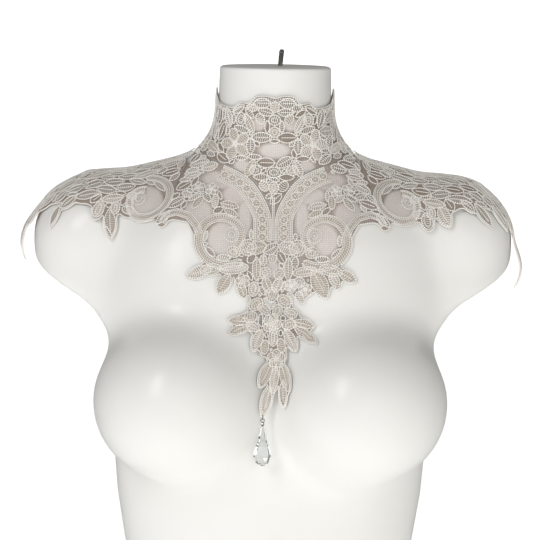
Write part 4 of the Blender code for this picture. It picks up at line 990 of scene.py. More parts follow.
class Pattern:
    """Draws each kind of motif as patches, cords, threads and beads."""

    def draw(self, placed: Placed) -> Drawing:
        """Draw one placed motif."""
        motif = placed.motif
        made = Drawing()
        getattr(self, motif.kind)(made, motif, placed.filling)
        return made

    def worked(self, made: Drawing, middle: Array, half: Array, filling: Filling) -> None:
        """Fill a strip in the way asked for."""
        if filling in (Filling.SATIN, Filling.BEADED):
            edge_room = np.maximum(half - 0.25, 0.12)
            made.strips.append(Strip(middle, edge_room, GAUGE.satin_rise))
        if filling in (Filling.SATIN, Filling.HATCHED):
            made.lines += ribs(middle, half, GAUGE.rib_slant)
        elif filling == Filling.BEADED:
            made.beads += bead_rows(middle, half)

    def leaf(self, made: Drawing, motif: Motif, filling: Filling) -> None:
        """A pointed leaf with a cord round it and a thinner one up its middle."""
        a = np.linspace(0, motif.length, max(int(motif.length / GAUGE.strip_step), 6))
        half = leaf_half(a, motif.length, motif.width)
        middle = np.stack([a, np.zeros_like(a)], axis=1)
        self.worked(made, middle, half, filling)
        loop = np.concatenate([np.stack([a, half], axis=1), np.stack([a, -half], axis=1)[-2:0:-1]])
        made.lines.append(Line(loop, GAUGE.cord, closed=True))
        if motif.width > 6:
            rib = middle[(a > motif.length * 0.06) & (a < motif.length * 0.82)]
            made.lines.append(Line(rib, GAUGE.fine_cord))

    def oval(self, made: Drawing, motif: Motif, filling: Filling) -> None:
        """An oval cell, with a second cord inside where it is large."""
        steps = np.linspace(-1, 1, max(int(motif.length / GAUGE.strip_step), 6))
        a = np.sin(steps * math.pi / 2) * motif.length / 2
        half = oval_half(a, motif.length, motif.width)
        middle = np.stack([a, np.zeros_like(a)], axis=1)
        self.worked(made, middle, half, filling)
        made.lines.append(Line(self.ring(0, 0, motif.length / 2, motif.width / 2), GAUGE.cord, True))
        if min(motif.length, motif.width) > 7:
            inner = self.ring(0, 0, motif.length / 2 - GAUGE.inner_cord,
                              motif.width / 2 - GAUGE.inner_cord)
            made.lines.append(Line(inner, GAUGE.fine_cord, True))

    def flower(self, made: Drawing, motif: Motif, filling: Filling) -> None:
        """A flower of corded petals round a beaded eye."""
        span, from_eye = motif.length * PETAL_SPAN, motif.length * PETAL_PLACE
        steps = np.linspace(-1, 1, max(int(span / GAUGE.strip_step), 6))
        a = np.sin(steps * math.pi / 2) * span / 2
        half = oval_half(a, span, motif.width)
        for petal in range(PETALS):
            turn = 2 * math.pi * petal / PETALS
            rotate = np.array([[math.cos(turn), math.sin(turn)], [-math.sin(turn), math.cos(turn)]])
            middle = np.stack([a + from_eye, np.zeros_like(a)], axis=1) @ rotate
            self.worked(made, middle, half, filling)
            loop = self.ring(from_eye, 0, span / 2, motif.width / 2) @ rotate
            made.lines.append(Line(loop, GAUGE.cord, True))
        eye = max(motif.length * 0.075, 0.9)
        made.lines.append(Line(self.ring(0, 0, eye, eye), GAUGE.fine_cord, True))
        made.beads.append((0.0, 0.0, 1.5))

    def scroll(self, made: Drawing, motif: Motif, filling: Filling) -> None:
        """A C-scroll: a ladder-worked band between double cords, and a ribbed disc in its curl."""
        path = resampled(scroll_path(motif.length), 0.9)
        half = np.full(len(path), motif.width / 2)
        half[:4] *= np.linspace(0.35, 1, 4)
        made.strips.append(Strip(path, half - 0.3, 0.0))
        side = normal_to(path)
        for share, radius in ((-1.0, GAUGE.cord), (-0.58, GAUGE.fine_cord), (0.58, GAUGE.fine_cord),
                              (1.0, GAUGE.cord)):
            made.lines.append(Line(path + side * (half * share)[:, None], radius))
        fan = len(path) * 5 // 8
        made.lines += ribs(path[fan:], half[fan:] * 0.95, GAUGE.fan_slant)
        made.beads += [(*row, 1.0) for row in path[2:fan:2]]
        centre = motif.length * np.array(CURL_PLACE)
        size = motif.length * CURL_RADIUS
        made.lines.append(Line(self.ring(*centre, size, size), GAUGE.cord, True))
        for turn in np.linspace(0, 2 * math.pi, 18, endpoint=False):
            way = np.array([math.cos(turn), math.sin(turn)])
            spoke = np.array([centre + way * size * 0.35, centre + way * size * 0.9])
            made.lines.append(Line(spoke, GAUGE.thread))
        made.beads.append((*centre, 1.7))

    @staticmethod
    def ring(x: float, y: float, half_length: float, half_width: float) -> Array:
        """Points of an oval."""
        turn = np.linspace(0, 2 * math.pi, 24, endpoint=False)
        return np.stack([x + half_length * np.cos(turn), y + half_width * np.sin(turn)], axis=1)


@dataclass(frozen=True)
class Panel:
    """One piece of lace: its name, chart, extent, flat cut and the windows of bare net."""
    name: str
    chart: Chart
    extent: tuple[float, float, float, float]
    side: int
    windows: tuple[Window, ...]
    # How close the net is: it sets the net's cover and also how much painted shade darkens its colour.
    closeness_and_shade: float
    cut: tuple[float, float, float]

    fillings = (Filling.SATIN, Filling.SATIN, Filling.SATIN)

    def placed(self) -> list[Placed]:
        """The motifs of the panel, where they lie."""
        raise NotImplementedError

    def free_edge(self, u: Array, v: Array, p: Array, motif: Array) -> Array:
        """Distance past the scalloped free edge."""
        raise NotImplementedError

    def seam_edge(self, u: Array, v: Array, p: Array) -> Array:
        """Distance past the seams."""
        raise NotImplementedError

    def window(self, u: Array, v: Array, p: Array) -> Array:
        """Distance to the places of bare net, negative inside them."""
        nearest = np.full(u.shape, np.inf)
        for row in self.windows:
            for side in (-1, 1):
                shape = oval_shape(p[..., 0] - side * row.x, p[..., 2] - row.y,
                                   row.half_width * 2, row.half_height * 2)
                nearest = np.minimum(nearest, shape)
        return nearest


class FrontPanel(Panel):
    """Yoke front with its ringed bands, scrolls, leaf spray and leaf drop."""

    fillings = (Filling.BEADED, Filling.SATIN, Filling.BEADED)

    def placed(self) -> list[Placed]:
        """The motifs of the panel, where they lie."""
        face = FaceChart(-1)
        rows = place(FRONT_PAIRS, -1, face, True) + place(FRONT_PAIRS, 1, face, True)
        rows += place(SPRAY_LEFT, -1, face, True) + place(SPRAY_RIGHT, 1, face, True)
        return rows + place(CENTRE + DROP, 1, face, True)

    def free_edge(self, u: Array, v: Array, p: Array, motif: Array) -> Array:
        """Distance past the scalloped free edge."""
        ground = edge_reach(np.abs(p[..., 0]), FRONT_HEM) - p[..., 2]
        lace = np.minimum(ground, motif - EDGE_MARGIN)
        eyelet = EYELET_RADIUS - np.hypot(p[..., 0] - EYELET[0], p[..., 2] - EYELET[1])
        return np.maximum(lace, eyelet)

    def seam_edge(self, u: Array, v: Array, p: Array) -> Array:
        """Distance past the seams."""
        seams = np.maximum(above_yoke(p), p[..., 1] - SHOULDER_SEAM_Y) + SEAM_GAP / 2
        return np.maximum(seams, np.maximum(cap_seam(p, -1), cap_seam(p, 1)) + SEAM_GAP / 2)


class BackPanel(Panel):
    """One half of the yoke's back, from the centre-back opening to the shoulder cap."""

    fillings = (Filling.SATIN, Filling.HATCHED, Filling.BEADED)

    def placed(self) -> list[Placed]:
        """The motifs of the panel, where they lie."""
        return place(BACK_PAIRS, self.side, FaceChart(1), True)

    def free_edge(self, u: Array, v: Array, p: Array, motif: Array) -> Array:
        """Distance past the scalloped free edge."""
        ground = edge_reach(np.abs(p[..., 0]), BACK_HEM) - p[..., 2]
        lace = np.minimum(ground, motif - EDGE_MARGIN)
        return np.maximum(lace, CENTRE_BACK_GAP / 2 - p[..., 0] * self.side)

    def seam_edge(self, u: Array, v: Array, p: Array) -> Array:
        """Distance past the seams."""
        seams = np.maximum(above_yoke(p), SHOULDER_SEAM_Y - p[..., 1])
        return np.maximum(seams, cap_seam(p, self.side)) + SEAM_GAP / 2


class ShoulderCap(Panel):
    """One shoulder cap, which turns over the end of the shoulder into a hanging leaf tip."""

    fillings = (Filling.HATCHED, Filling.HATCHED, Filling.SATIN)

    def placed(self) -> list[Placed]:
        """The motifs of the panel, where they lie."""
        front = CAP_FRONT_RIGHT if self.side > 0 else CAP_FRONT_LEFT
        tip = TIP_RIGHT if self.side > 0 else TIP_LEFT
        rows = place(CAP_PAIRS + front, self.side, FaceChart(-1), True)
        return rows + place(CAP_RIDGE + tip, 1, self.chart, False)

    def free_edge(self, u: Array, v: Array, p: Array, motif: Array) -> Array:
        """Distance past the scalloped free edge."""
        before = v - edge_reach(u, CAP_FRONT_HEM)
        behind = -v - edge_reach(u, CAP_BACK_HEM)
        ground = np.maximum(np.maximum(before, behind), u - 186)
        return np.minimum(ground, motif - EDGE_MARGIN)

    def seam_edge(self, u: Array, v: Array, p: Array) -> Array:
        """Distance past the seams."""
        return SEAM_GAP / 2 - cap_seam(p, self.side)

    def window(self, u: Array, v: Array, p: Array) -> Array:
        """Distance to the places of bare net, which are only in front of the ridge."""
        return np.where(v > 0, super().window(u, v, p), np.inf)


class CollarPanel(Panel):
    """A stretch of the high collar between two seams."""

    fillings = (Filling.BEADED, Filling.HATCHED, Filling.SATIN)

    def placed(self) -> list[Placed]:
        """The motifs of the panel, where they lie."""
        if self.side == 0:
            rows = place(COLLAR_PAIRS, -1, self.chart, False) + place(COLLAR_PAIRS, 1, self.chart, False)
            return rows + place(COLLAR_CENTRE, 1, self.chart, False)
        return place(COLLAR_BACK_PAIRS, self.side, self.chart, False)

    def free_edge(self, u: Array, v: Array, p: Array, motif: Array) -> Array:
        """Distance past the scalloped free edge."""
        top = v - edge_reach(np.degrees(np.abs(u)) / COLLAR_RADIUS, COLLAR_TOP)
        return np.maximum(top, np.abs(u) - math.pi * COLLAR_RADIUS + CENTRE_BACK_GAP / 2)

    def seam_edge(self, u: Array, v: Array, p: Array) -> Array:
        """Distance past the seams."""
        side_seam = math.radians(COLLAR_SIDE_SEAM) * COLLAR_RADIUS
        ends = np.abs(u) - side_seam if self.side == 0 else side_seam - u * self.side
        return np.maximum(ends, -above_yoke(p)) + SEAM_GAP / 2

    def window(self, u: Array, v: Array, p: Array) -> Array:
        """Distance to the places of bare net, given by the arc from the centre front."""
        nearest = np.full(u.shape, np.inf)
        for row in self.windows:
            shape = oval_shape(np.abs(u) - row.x, v - row.y, row.half_width * 2, row.half_height * 2)
            nearest = np.minimum(nearest, shape)
        return nearest


def panels() -> list[Panel]:
    """The eight pieces of lace."""
    side_seam = math.radians(COLLAR_SIDE_SEAM) * COLLAR_RADIUS
    half_turn = math.pi * COLLAR_RADIUS
    return [
        CollarPanel("collar_front", CollarChart(), (-side_seam - 3, side_seam + 3, 352, 460), 0,
                    COLLAR_WINDOWS, 0.55, (0.172, 0.100, 0.0107)),
        CollarPanel("collar_back_right", CollarChart(), (side_seam - 3, half_turn + 3, 380, 460), 1,
                    (), 0.55, (0.074, 0.060, 0.0031)),
        CollarPanel("collar_back_left", CollarChart(), (-half_turn - 3, -side_seam + 3, 380, 460), -1,
                    (), 0.55, (0.074, 0.060, 0.0031)),
        FrontPanel("front_panel", SlantChart(-1), (-98, 98, 84, 322), 0, FRONT_WINDOWS, 0.45,
                   (0.200, 0.225, 0.0209)),
        BackPanel("back_right", SlantChart(1), (-2, 98, 200, 322), 1, BACK_WINDOWS, 0.5,
                  (0.110, 0.115, 0.0084)),
        BackPanel("back_left", SlantChart(1), (-98, 2, 200, 322), -1, BACK_WINDOWS, 0.5,
                  (0.110, 0.115, 0.0084)),
        # The shoulder caps' net is the closest, so it gets the most cover and the darkest painted shade.
        ShoulderCap("shoulder_left", CapChart(-1), (20, 224, -86, 98), -1, CAP_WINDOWS, 0.8,
                    (0.170, 0.150, 0.0170)),
        ShoulderCap("shoulder_right", CapChart(1), (20, 224, -86, 98), 1, CAP_WINDOWS, 0.8,
                    (0.180, 0.150, 0.0173))]


def linear(code: str) -> tuple[float, float, float, float]:
    """Turn an sRGB hex code into linear colour."""
    parts = [int(code[k:k + 2], 16) / 255 for k in (1, 3, 5)]
    made = [c / 12.92 if c <= 0.04045 else ((c + 0.055) / 1.055) ** 2.4 for c in parts]
    return (*made, 1.0)


def node(tree: NodeTree, kind: str, inputs: dict | None = None,
         **settings: object) -> Node:
    """Add a node, with its settings and its inputs.

    Args:
        tree: the node tree.
        kind: the node's type name.
        inputs: by socket name or number, a value or the output socket to link.
        settings: the node's own properties.

    Returns:
        The new node.
    """
    made = tree.nodes.new(kind)
    for key, value in settings.items():
        setattr(made, key, value)
    for key, value in (inputs or {}).items():
        if isinstance(value, NodeSocket):
            tree.links.new(value, made.inputs[key])
        else:
            made.inputs[key].default_value = value
    return made


def new_material(name: str, **sockets: object) -> tuple[Material, Node]:
    """Make a material and set its shader's own sockets."""
    made = bpy.data.materials.new(name)
    made.use_nodes = True
    shader = made.node_tree.nodes["Principled BSDF"]
    for key, value in sockets.items():
        shader.inputs[key.replace("_", " ")].default_value = value
    return made, shader


def colour_mix(tree: NodeTree, factor: NodeSocket, first: str,
               second: str) -> NodeSocket:
    """Blend two hex colours by a factor."""
    ramp = node(tree, "ShaderNodeValToRGB", {"Fac": factor})
    ramp.color_ramp.elements[0].color = linear(first)
    ramp.color_ramp.elements[1].color = linear(second)
    return ramp.outputs["Color"]


def clouded(tree: NodeTree, scale: float, detail: float, first: str,
            second: str) -> NodeSocket:
    """Let a colour drift in soft clouds over the object.

    Args:
        tree: the material's node tree.
        scale: how many clouds lie along a metre.
        detail: how many finer layers the clouds have.
        first: hex colour of their thin parts.
        second: hex colour of their dense parts.

    Returns:
        The colour's socket.
    """
    where = node(tree, "ShaderNodeTexCoord")
    cloud = node(tree, "ShaderNodeTexNoise", {
        "Vector": where.outputs["Object"], "Scale": scale, "Detail": detail})
    return colour_mix(tree, cloud.outputs["Fac"], first, second)


@dataclass(frozen=True)
class MouldedPlastic:
    """Gloss-sprayed moulded plastic of the display torso.

    It gives the eye a smooth white body with soft clear highlights and a faint orange peel.
    """
    light: str = "#EDEDEA"
    shade: str = "#E4E3DF"
    peel_mm: float = 2.5

    def material(self) -> Material:
        """Build the material."""
        made, shader = new_material("moulded_plastic", Roughness=0.34, IOR=1.38, Coat_Weight=0.12,
                                    Coat_Roughness=0.15)
        tree = made.node_tree
        tint = clouded(tree, 9.0, 3.0, self.light, self.shade)
        tree.links.new(tint, shader.inputs["Base Color"])
        where = node(tree, "ShaderNodeTexCoord")
        peel = node(tree, "ShaderNodeTexNoise", {
            "Vector": where.outputs["Object"], "Scale": 1000 / self.peel_mm, "Detail": 1.0})
        bump = node(tree, "ShaderNodeBump", {
            "Strength": 0.05, "Distance": 0.0002, "Height": peel.outputs["Fac"]})
        tree.links.new(bump.outputs["Normal"], shader.inputs["Normal"])
        return made


@dataclass(frozen=True)
class BobbinNet:
    """Fine nylon bobbin net, woven in six-sided holes.

    It gives the eye a thin rosy veil where it is bare, and a deeper beige of painted shade where it is
    close under the sewn work.
    Its 1 mm holes are drawn at 1.6 mm, so that they show.
    """
    bare: str = "#EFE4DE"
    # worked: painted shade of the net where it is close under the sewn work
    worked: str = "#AA9D90"
    hole_mm: float = 1.6

    def material(self) -> Material:
        """Build the material."""
        made, shader = new_material("bobbin_net", Roughness=0.65, Sheen_Weight=0.25)
        tree = made.node_tree
        flat = node(tree, "ShaderNodeUVMap", uv_map="cut")
        scaled = node(tree, "ShaderNodeMapping", {
            "Vector": flat.outputs["UV"], "Scale": (1000 / self.hole_mm, 1000 / self.hole_mm, 1.0)})
        cells = node(tree, "ShaderNodeTexVoronoi", {
            "Vector": scaled.outputs["Vector"], "Scale": 1.0, "Randomness": 0.25},
            feature="DISTANCE_TO_EDGE", voronoi_dimensions="2D")
        thread = node(tree, "ShaderNodeMapRange", {
            "Value": cells.outputs["Distance"], "From Min": 0.03, "From Max": 0.13,
            "To Min": 1.0, "To Max": 0.0})
        close = node(tree, "ShaderNodeAttribute", attribute_name="closeness_and_shade")
        cover = node(tree, "ShaderNodeMath", {
            0: thread.outputs["Result"], 1: close.outputs["Fac"]}, operation="MAXIMUM")
        tree.links.new(cover.outputs["Value"], shader.inputs["Alpha"])
        # Painted shade: the colour darkens from bare to worked as the net grows close, in clouds that
        # vary at random.
        cloud = node(tree, "ShaderNodeTexNoise", {
            "Vector": scaled.outputs["Vector"], "Scale": 0.12, "Detail": 2.0})
        depth = node(tree, "ShaderNodeMath", {
            0: cloud.outputs["Fac"], 1: 0.7, 2: -0.45}, operation="MULTIPLY_ADD")
        worked = node(tree, "ShaderNodeMath", {
            0: close.outputs["Fac"], 1: 1.9, 2: depth.outputs["Value"]}, operation="MULTIPLY_ADD")
        tint = colour_mix(tree, worked.outputs["Value"], self.bare, self.worked)
        tree.links.new(tint, shader.inputs["Base Color"])
        return made


@dataclass(frozen=True)
class GimpCord:
    """Ivory gimp cord, a soft core wound round with viscose thread and couched down.

    It gives the eye a bright round line with close turns, and a small dip of painted shade at each
    couching stitch.
    """
    crest: str = "#FFFEFB"
    # dip: painted shade in the hollow at each couching stitch
    dip: str = "#E2DAD0"
    turn_mm: float = 2.1

    def material(self) -> Material:
        """Build the material."""
        made, shader = new_material("gimp_cord", Roughness=0.42, Sheen_Weight=0.3)
        tree = made.node_tree
        along = node(tree, "ShaderNodeAttribute", attribute_name="along")
        phase = node(tree, "ShaderNodeMath", {
            0: along.outputs["Fac"], 1: 2 * math.pi * 1000 / self.turn_mm}, operation="MULTIPLY")
        wave = node(tree, "ShaderNodeMath", {0: phase.outputs["Value"]}, operation="SINE")
        level = node(tree, "ShaderNodeMapRange", {
            "Value": wave.outputs["Value"], "From Min": -1.0, "From Max": 0.6})
        # Painted shade: the colour darkens towards dip in each hollow of the wave that also drives the
        # bump.
        tint = colour_mix(tree, level.outputs["Result"], self.dip, self.crest)
        tree.links.new(tint, shader.inputs["Base Color"])
        bump = node(tree, "ShaderNodeBump", {
            "Strength": 0.5, "Distance": 0.0003, "Height": level.outputs["Result"]})
        tree.links.new(bump.outputs["Normal"], shader.inputs["Normal"])
        return made


@dataclass(frozen=True)
class SatinStitch:
    """Ivory silk floss in close satin stitches.

    It gives the eye fine ribs across each petal and leaf, bright on their crests, with painted shade in
    the grooves.
    """
    crest: str = "#DFD7CD"
    # painted shade in the grooves between the stitches
    groove_shade: str = "#9F9488"
    rib_mm: float = 1.8

    def material(self) -> Material:
        """Build the material."""
        made, shader = new_material("satin_stitch", Roughness=0.45, Sheen_Weight=0.35)
        tree = made.node_tree
        flat = node(tree, "ShaderNodeUVMap", uv_map="work")
        scaled = node(tree, "ShaderNodeMapping", {
            "Vector": flat.outputs["UV"], "Rotation": (0.0, 0.0, 0.35),
            "Scale": (1000 / self.rib_mm, 1000 / self.rib_mm, 1.0)})
        rows = node(tree, "ShaderNodeTexWave", {
            "Vector": scaled.outputs["Vector"], "Scale": 0.31, "Distortion": 1.2,
            "Detail": 2.0, "Detail Scale": 2.0})
        # Painted shade: the colour darkens into the grooves with the same waves as the bump.
        tint = colour_mix(tree, rows.outputs["Fac"], self.groove_shade, self.crest)
        tree.links.new(tint, shader.inputs["Base Color"])
        bump = node(tree, "ShaderNodeBump", {
            "Strength": 0.6, "Distance": 0.0003, "Height": rows.outputs["Fac"]})
        tree.links.new(bump.outputs["Normal"], shader.inputs["Normal"])
        return made


@dataclass(frozen=True)
class GlassSeed:
    """Small clear glass beads with a pearl lining, sewn on one by one.

    They give the eye bright points over the cloth.
    """
    light: str = "#FFFDF8"
    shade: str = "#E6DED2"

    def material(self) -> Material:
        """Build the material."""
        made, shader = new_material("glass_seed", Roughness=0.12, IOR=1.52, Coat_Weight=0.6,
                                    Coat_Roughness=0.04)
        tint = clouded(made.node_tree, 260.0, 1.0, self.shade, self.light)
        made.node_tree.links.new(tint, shader.inputs["Base Color"])
        return made


@dataclass(frozen=True)
class CutCrystal:
    """Machine-cut clear crystal of the drop.

    It gives the eye clear facets with dark and bright slivers; its grey tint is painted shade for dark
    surroundings seen through it.
    """
    # tint: a grey that is painted shade, for the dark surroundings seen through the clear crystal
    tint: str = "#E4E8E8"
    clear: str = "#F7F9F9"

    def material(self) -> Material:
        """Build the material."""
        made, shader = new_material("cut_crystal", Roughness=0.0, IOR=1.54, Transmission_Weight=1.0)
        # Painted shade: the glass is tinted grey in clouds, from the grey to the clear colour.
        tint = clouded(made.node_tree, 60.0, 1.0, self.tint, self.clear)
        made.node_tree.links.new(tint, shader.inputs["Base Color"])
        return made


@dataclass(frozen=True)
class DrawnSteel:
    """Drawn and polished steel of the rod and, paler, of the jump ring and the small bead.

    It gives the eye a grey metal with fine lines along it.
    """
    light: str = "#C9C7C4"
    shade: str = "#8F8C89"

    def material(self) -> Material:
        """Build the material."""
        made, shader = new_material("drawn_steel", Metallic=1.0, Roughness=0.24)
        tree = made.node_tree
        where = node(tree, "ShaderNodeTexCoord")
        scaled = node(tree, "ShaderNodeMapping", {
            "Vector": where.outputs["Object"], "Scale": (2400.0, 2400.0, 160.0)})
        lines = node(tree, "ShaderNodeTexNoise", {
            "Vector": scaled.outputs["Vector"], "Scale": 1.0, "Detail": 2.0})
        tint = colour_mix(tree, lines.outputs["Fac"], self.shade, self.light)
        tree.links.new(tint, shader.inputs["Base Color"])
        return made


@dataclass(frozen=True)
class PearlButton:
    """Ivory casein button with a soft pearl gloss.

    It gives the eye a warm milky dome with faint clouds.
    """
    light: str = "#F3ECE0"
    shade: str = "#DDD2C2"

    def material(self) -> Material:
        """Build the material."""
        made, shader = new_material("pearl_button", Roughness=0.3, Coat_Weight=0.4)
        tint = clouded(made.node_tree, 420.0, 3.0, self.shade, self.light)
        made.node_tree.links.new(tint, shader.inputs["Base Color"])
        return made


@dataclass(frozen=True)
class PaperSweep:
    """White paper floor and backdrop of the studio, lit by lamps of its own."""
    light: str = "#FFFFFF"
    shade: str = "#FBFBFA"
    glow: float = 0.92

    def material(self) -> Material:
        """Build the material."""
        made, shader = new_material("paper_sweep", Roughness=0.9, Emission_Strength=self.glow)
        tree = made.node_tree
        tint = clouded(tree, 3.0, 2.0, self.shade, self.light)
        tree.links.new(tint, shader.inputs["Base Color"])
        tree.links.new(tint, shader.inputs["Emission Color"])
        return made


def new_object(name: str, points: Array, edges: list, faces: list) -> Object:
    """Make a named object from points in millimetres."""
    mesh = bpy.data.meshes.new(name)
    mesh.from_pydata((np.asarray(points) * MM).tolist(), edges, faces)
    made = bpy.data.objects.new(name, mesh)
    bpy.context.collection.objects.link(made)
    return made


def applied(worker: Object, name: str) -> Object:
    """Turn an object's evaluated modifiers into a plain mesh object and drop the worker."""
    bpy.context.view_layer.update()
    graph = bpy.context.evaluated_depsgraph_get()
    mesh = bpy.data.meshes.new_from_object(worker.evaluated_get(graph))
    bpy.data.objects.remove(worker)
    mesh.name = name
    mesh.shade_smooth()
    made = bpy.data.objects.new(name, mesh)
    bpy.context.collection.objects.link(made)
    return made


def store_numbers(made: Object, name: str, values: Array) -> None:
    """Store a number on each point of an object."""
    layer = made.data.attributes.new(name, "FLOAT", "POINT")
    layer.data.foreach_set("value", np.asarray(values, dtype=np.float32))


def store_flat(made: Object, name: str, flat: Array) -> None:
    """Store the flat place of each point, in millimetres, as a UV map in metres."""
    corners = np.zeros(len(made.data.loops), dtype=np.int32)
    made.data.loops.foreach_get("vertex_index", corners)
    layer = made.data.uv_layers.new(name=name)
    layer.data.foreach_set("uv", (flat[corners] * MM).astype(np.float32).ravel())


def lathe_faces(levels: int, count: int, upward: bool) -> list[tuple[int, ...]]:
    """Faces of a closed round form: rings of points, then its first and its last end point.

    Args:
        levels: how many rings there are.
        count: how many points a ring has.
        upward: whether the rings run from the foot to the top.

    Returns:
        Faces that look outwards.
    """
    faces = []
    last = (levels - 1) * count
    for k in range(count):
        after = (k + 1) % count
        faces += [(row + k, row + after, row + after + count, row + k + count)
                  for row in range(0, last, count)]
        faces += [(after, k, levels * count), (last + k, last + after, levels * count + 1)]
    return faces if upward else [(face[0], *reversed(face[1:])) for face in faces]


class WorkTree:
    """Geometry Nodes that turn an object of lines or points into finished work."""

    def __init__(self, name: str, **sockets: str) -> None:
        """Start the tree.

        Args:
            name: the tree's name.
            sockets: by input name, the kind of its socket.
        """
        self.tree = bpy.data.node_groups.new(name, "GeometryNodeTree")
        kinds = {"Geometry": "NodeSocketGeometry", **sockets, "Finish": "NodeSocketMaterial"}
        for key, kind in kinds.items():
            self.tree.interface.new_socket(key, in_out="INPUT", socket_type=kind)
        self.tree.interface.new_socket("Geometry", in_out="OUTPUT", socket_type="NodeSocketGeometry")
        self.entry = node(self.tree, "NodeGroupInput")

    def finish(self, work: NodeSocket) -> None:
        """End the tree: make the work real and give it its finish."""
        real = node(self.tree, "GeometryNodeRealizeInstances", {"Geometry": work})
        dressed = node(self.tree, "GeometryNodeSetMaterial", {
            "Geometry": real.outputs["Geometry"], "Material": self.entry.outputs["Finish"]})
        node(self.tree, "NodeGroupOutput", {"Geometry": dressed.outputs["Geometry"]})

    def make(self, name: str, drawn: Object, **inputs: object) -> Object:
        """Run the tree on an object.

        Args:
            name: name of the new piece.
            drawn: its lines or points, which the piece takes the place of.
            inputs: the tree's inputs by name.

        Returns:
            The piece as a plain mesh object.
        """
        modifier = drawn.modifiers.new("work", "NODES")
        modifier.node_group = self.tree
        for item in self.tree.interface.items_tree:
            if item.item_type == "SOCKET" and item.in_out == "INPUT" and item.name in inputs:
                modifier[item.identifier] = inputs[item.name]
        return applied(drawn, name)


class CordTree(WorkTree):
    """Turns drawn lines into round cords of the thickness that each line carries."""

    def __init__(self) -> None:
        """Build the tree."""
        super().__init__("round_cords", Sides="NodeSocketInt")
        tree = self.tree
        curve = node(tree, "GeometryNodeMeshToCurve", {"Mesh": self.entry.outputs["Geometry"]})
        run = node(tree, "GeometryNodeSplineParameter")
        stored = node(tree, "GeometryNodeStoreNamedAttribute", {
            "Geometry": curve.outputs["Curve"], "Name": "along", "Value": run.outputs["Length"]},
            data_type="FLOAT", domain="POINT")
        thick = node(tree, "GeometryNodeInputNamedAttribute", {"Name": "thickness"}, data_type="FLOAT")
        section = node(tree, "GeometryNodeCurvePrimitiveCircle", {
            "Resolution": self.entry.outputs["Sides"], "Radius": 1.0})
        tube = node(tree, "GeometryNodeCurveToMesh", {
            "Curve": stored.outputs["Geometry"], "Profile Curve": section.outputs["Curve"],
            "Scale": thick.outputs["Attribute"], "Fill Caps": True})
        self.finish(tube.outputs["Mesh"])


class BeadTree(WorkTree):
    """Sews a small round bead on each point, of the size that it carries."""

    def __init__(self) -> None:
        """Build the tree."""
        super().__init__("sewn_beads", Radius="NodeSocketFloat", Seed="NodeSocketInt")
        tree = self.tree
        size = node(tree, "GeometryNodeInputNamedAttribute", {"Name": "size"}, data_type="FLOAT")
        chance = node(tree, "FunctionNodeRandomValue", {
            2: 0.82, 3: 1.12, "Seed": self.entry.outputs["Seed"]}, data_type="FLOAT")
        scale = node(tree, "ShaderNodeMath", {0: size.outputs["Attribute"], 1: chance.outputs[1]},
                     operation="MULTIPLY")
        ball = node(tree, "GeometryNodeMeshIcoSphere", {
            "Radius": self.entry.outputs["Radius"], "Subdivisions": 1})
        sewn = node(tree, "GeometryNodeInstanceOnPoints", {
            "Points": self.entry.outputs["Geometry"], "Instance": ball.outputs["Mesh"],
            "Scale": scale.outputs["Value"]})
        self.finish(sewn.outputs["Instances"])


class Laid:
    """Collects the rays of many points, and lays them all on the cloth in one go."""

    def __init__(self) -> None:
        """Start with no points."""
        self.starts: list[Array] = []
        self.directions: list[Array] = []
        self.heights: list[Array] = []
        self.count = 0

    def add(self, rays: Rays, height: Array | float) -> int:
        """Add points by their rays, and return the index of the first."""
        first = self.count
        starts = rays[0].reshape(-1, 3)
        self.starts.append(starts)
        self.directions.append(np.array(rays[1]).reshape(-1, 3))
        self.heights.append(np.broadcast_to(height, rays[0].shape[:-1]).reshape(-1))
        self.count += len(starts)
        return first

    def points(self) -> Array:
        """Find all the points on the cloth."""
        starts, directions = np.concatenate(self.starts), np.concatenate(self.directions)
        found = trace(drape_distance, starts, directions, 400.0)
        missed = np.isnan(found[:, 0])
        found[missed] = (starts + 22.0 * directions)[missed]
        return found + normals(found) * np.concatenate(self.heights)[:, None]


class Band:
    """A path on the cloth with its own frame at each point, for bands, rings and arches."""

    def __init__(self, path: Array) -> None:
        """Frame a path given by its points."""
        self.path = resampled(path, 0.9)
        self.out = normals(self.path)
        self.along = np.gradient(self.path, axis=0)
        self.along /= np.linalg.norm(self.along, axis=1, keepdims=True)
        self.side = np.cross(self.out, self.along)
        self.run = run_along(self.path)

    def rays(self, run: Array, across: Array) -> Rays:
        """Rays for places given by the run along the path and the distance to its left."""
        def at(rows: Array) -> Array:
            """Read the rows at the runs asked for."""
            return np.stack([np.interp(run, self.run, rows[:, k]) for k in range(3)], axis=-1)
        out = at(self.out)
        beyond = np.clip(run, None, 0) + np.clip(run - self.run[-1], 0, None)
        place_on = at(self.path) + at(self.side) * across[..., None] + at(self.along) * beyond[..., None]
        return place_on + out * 12.0, -out


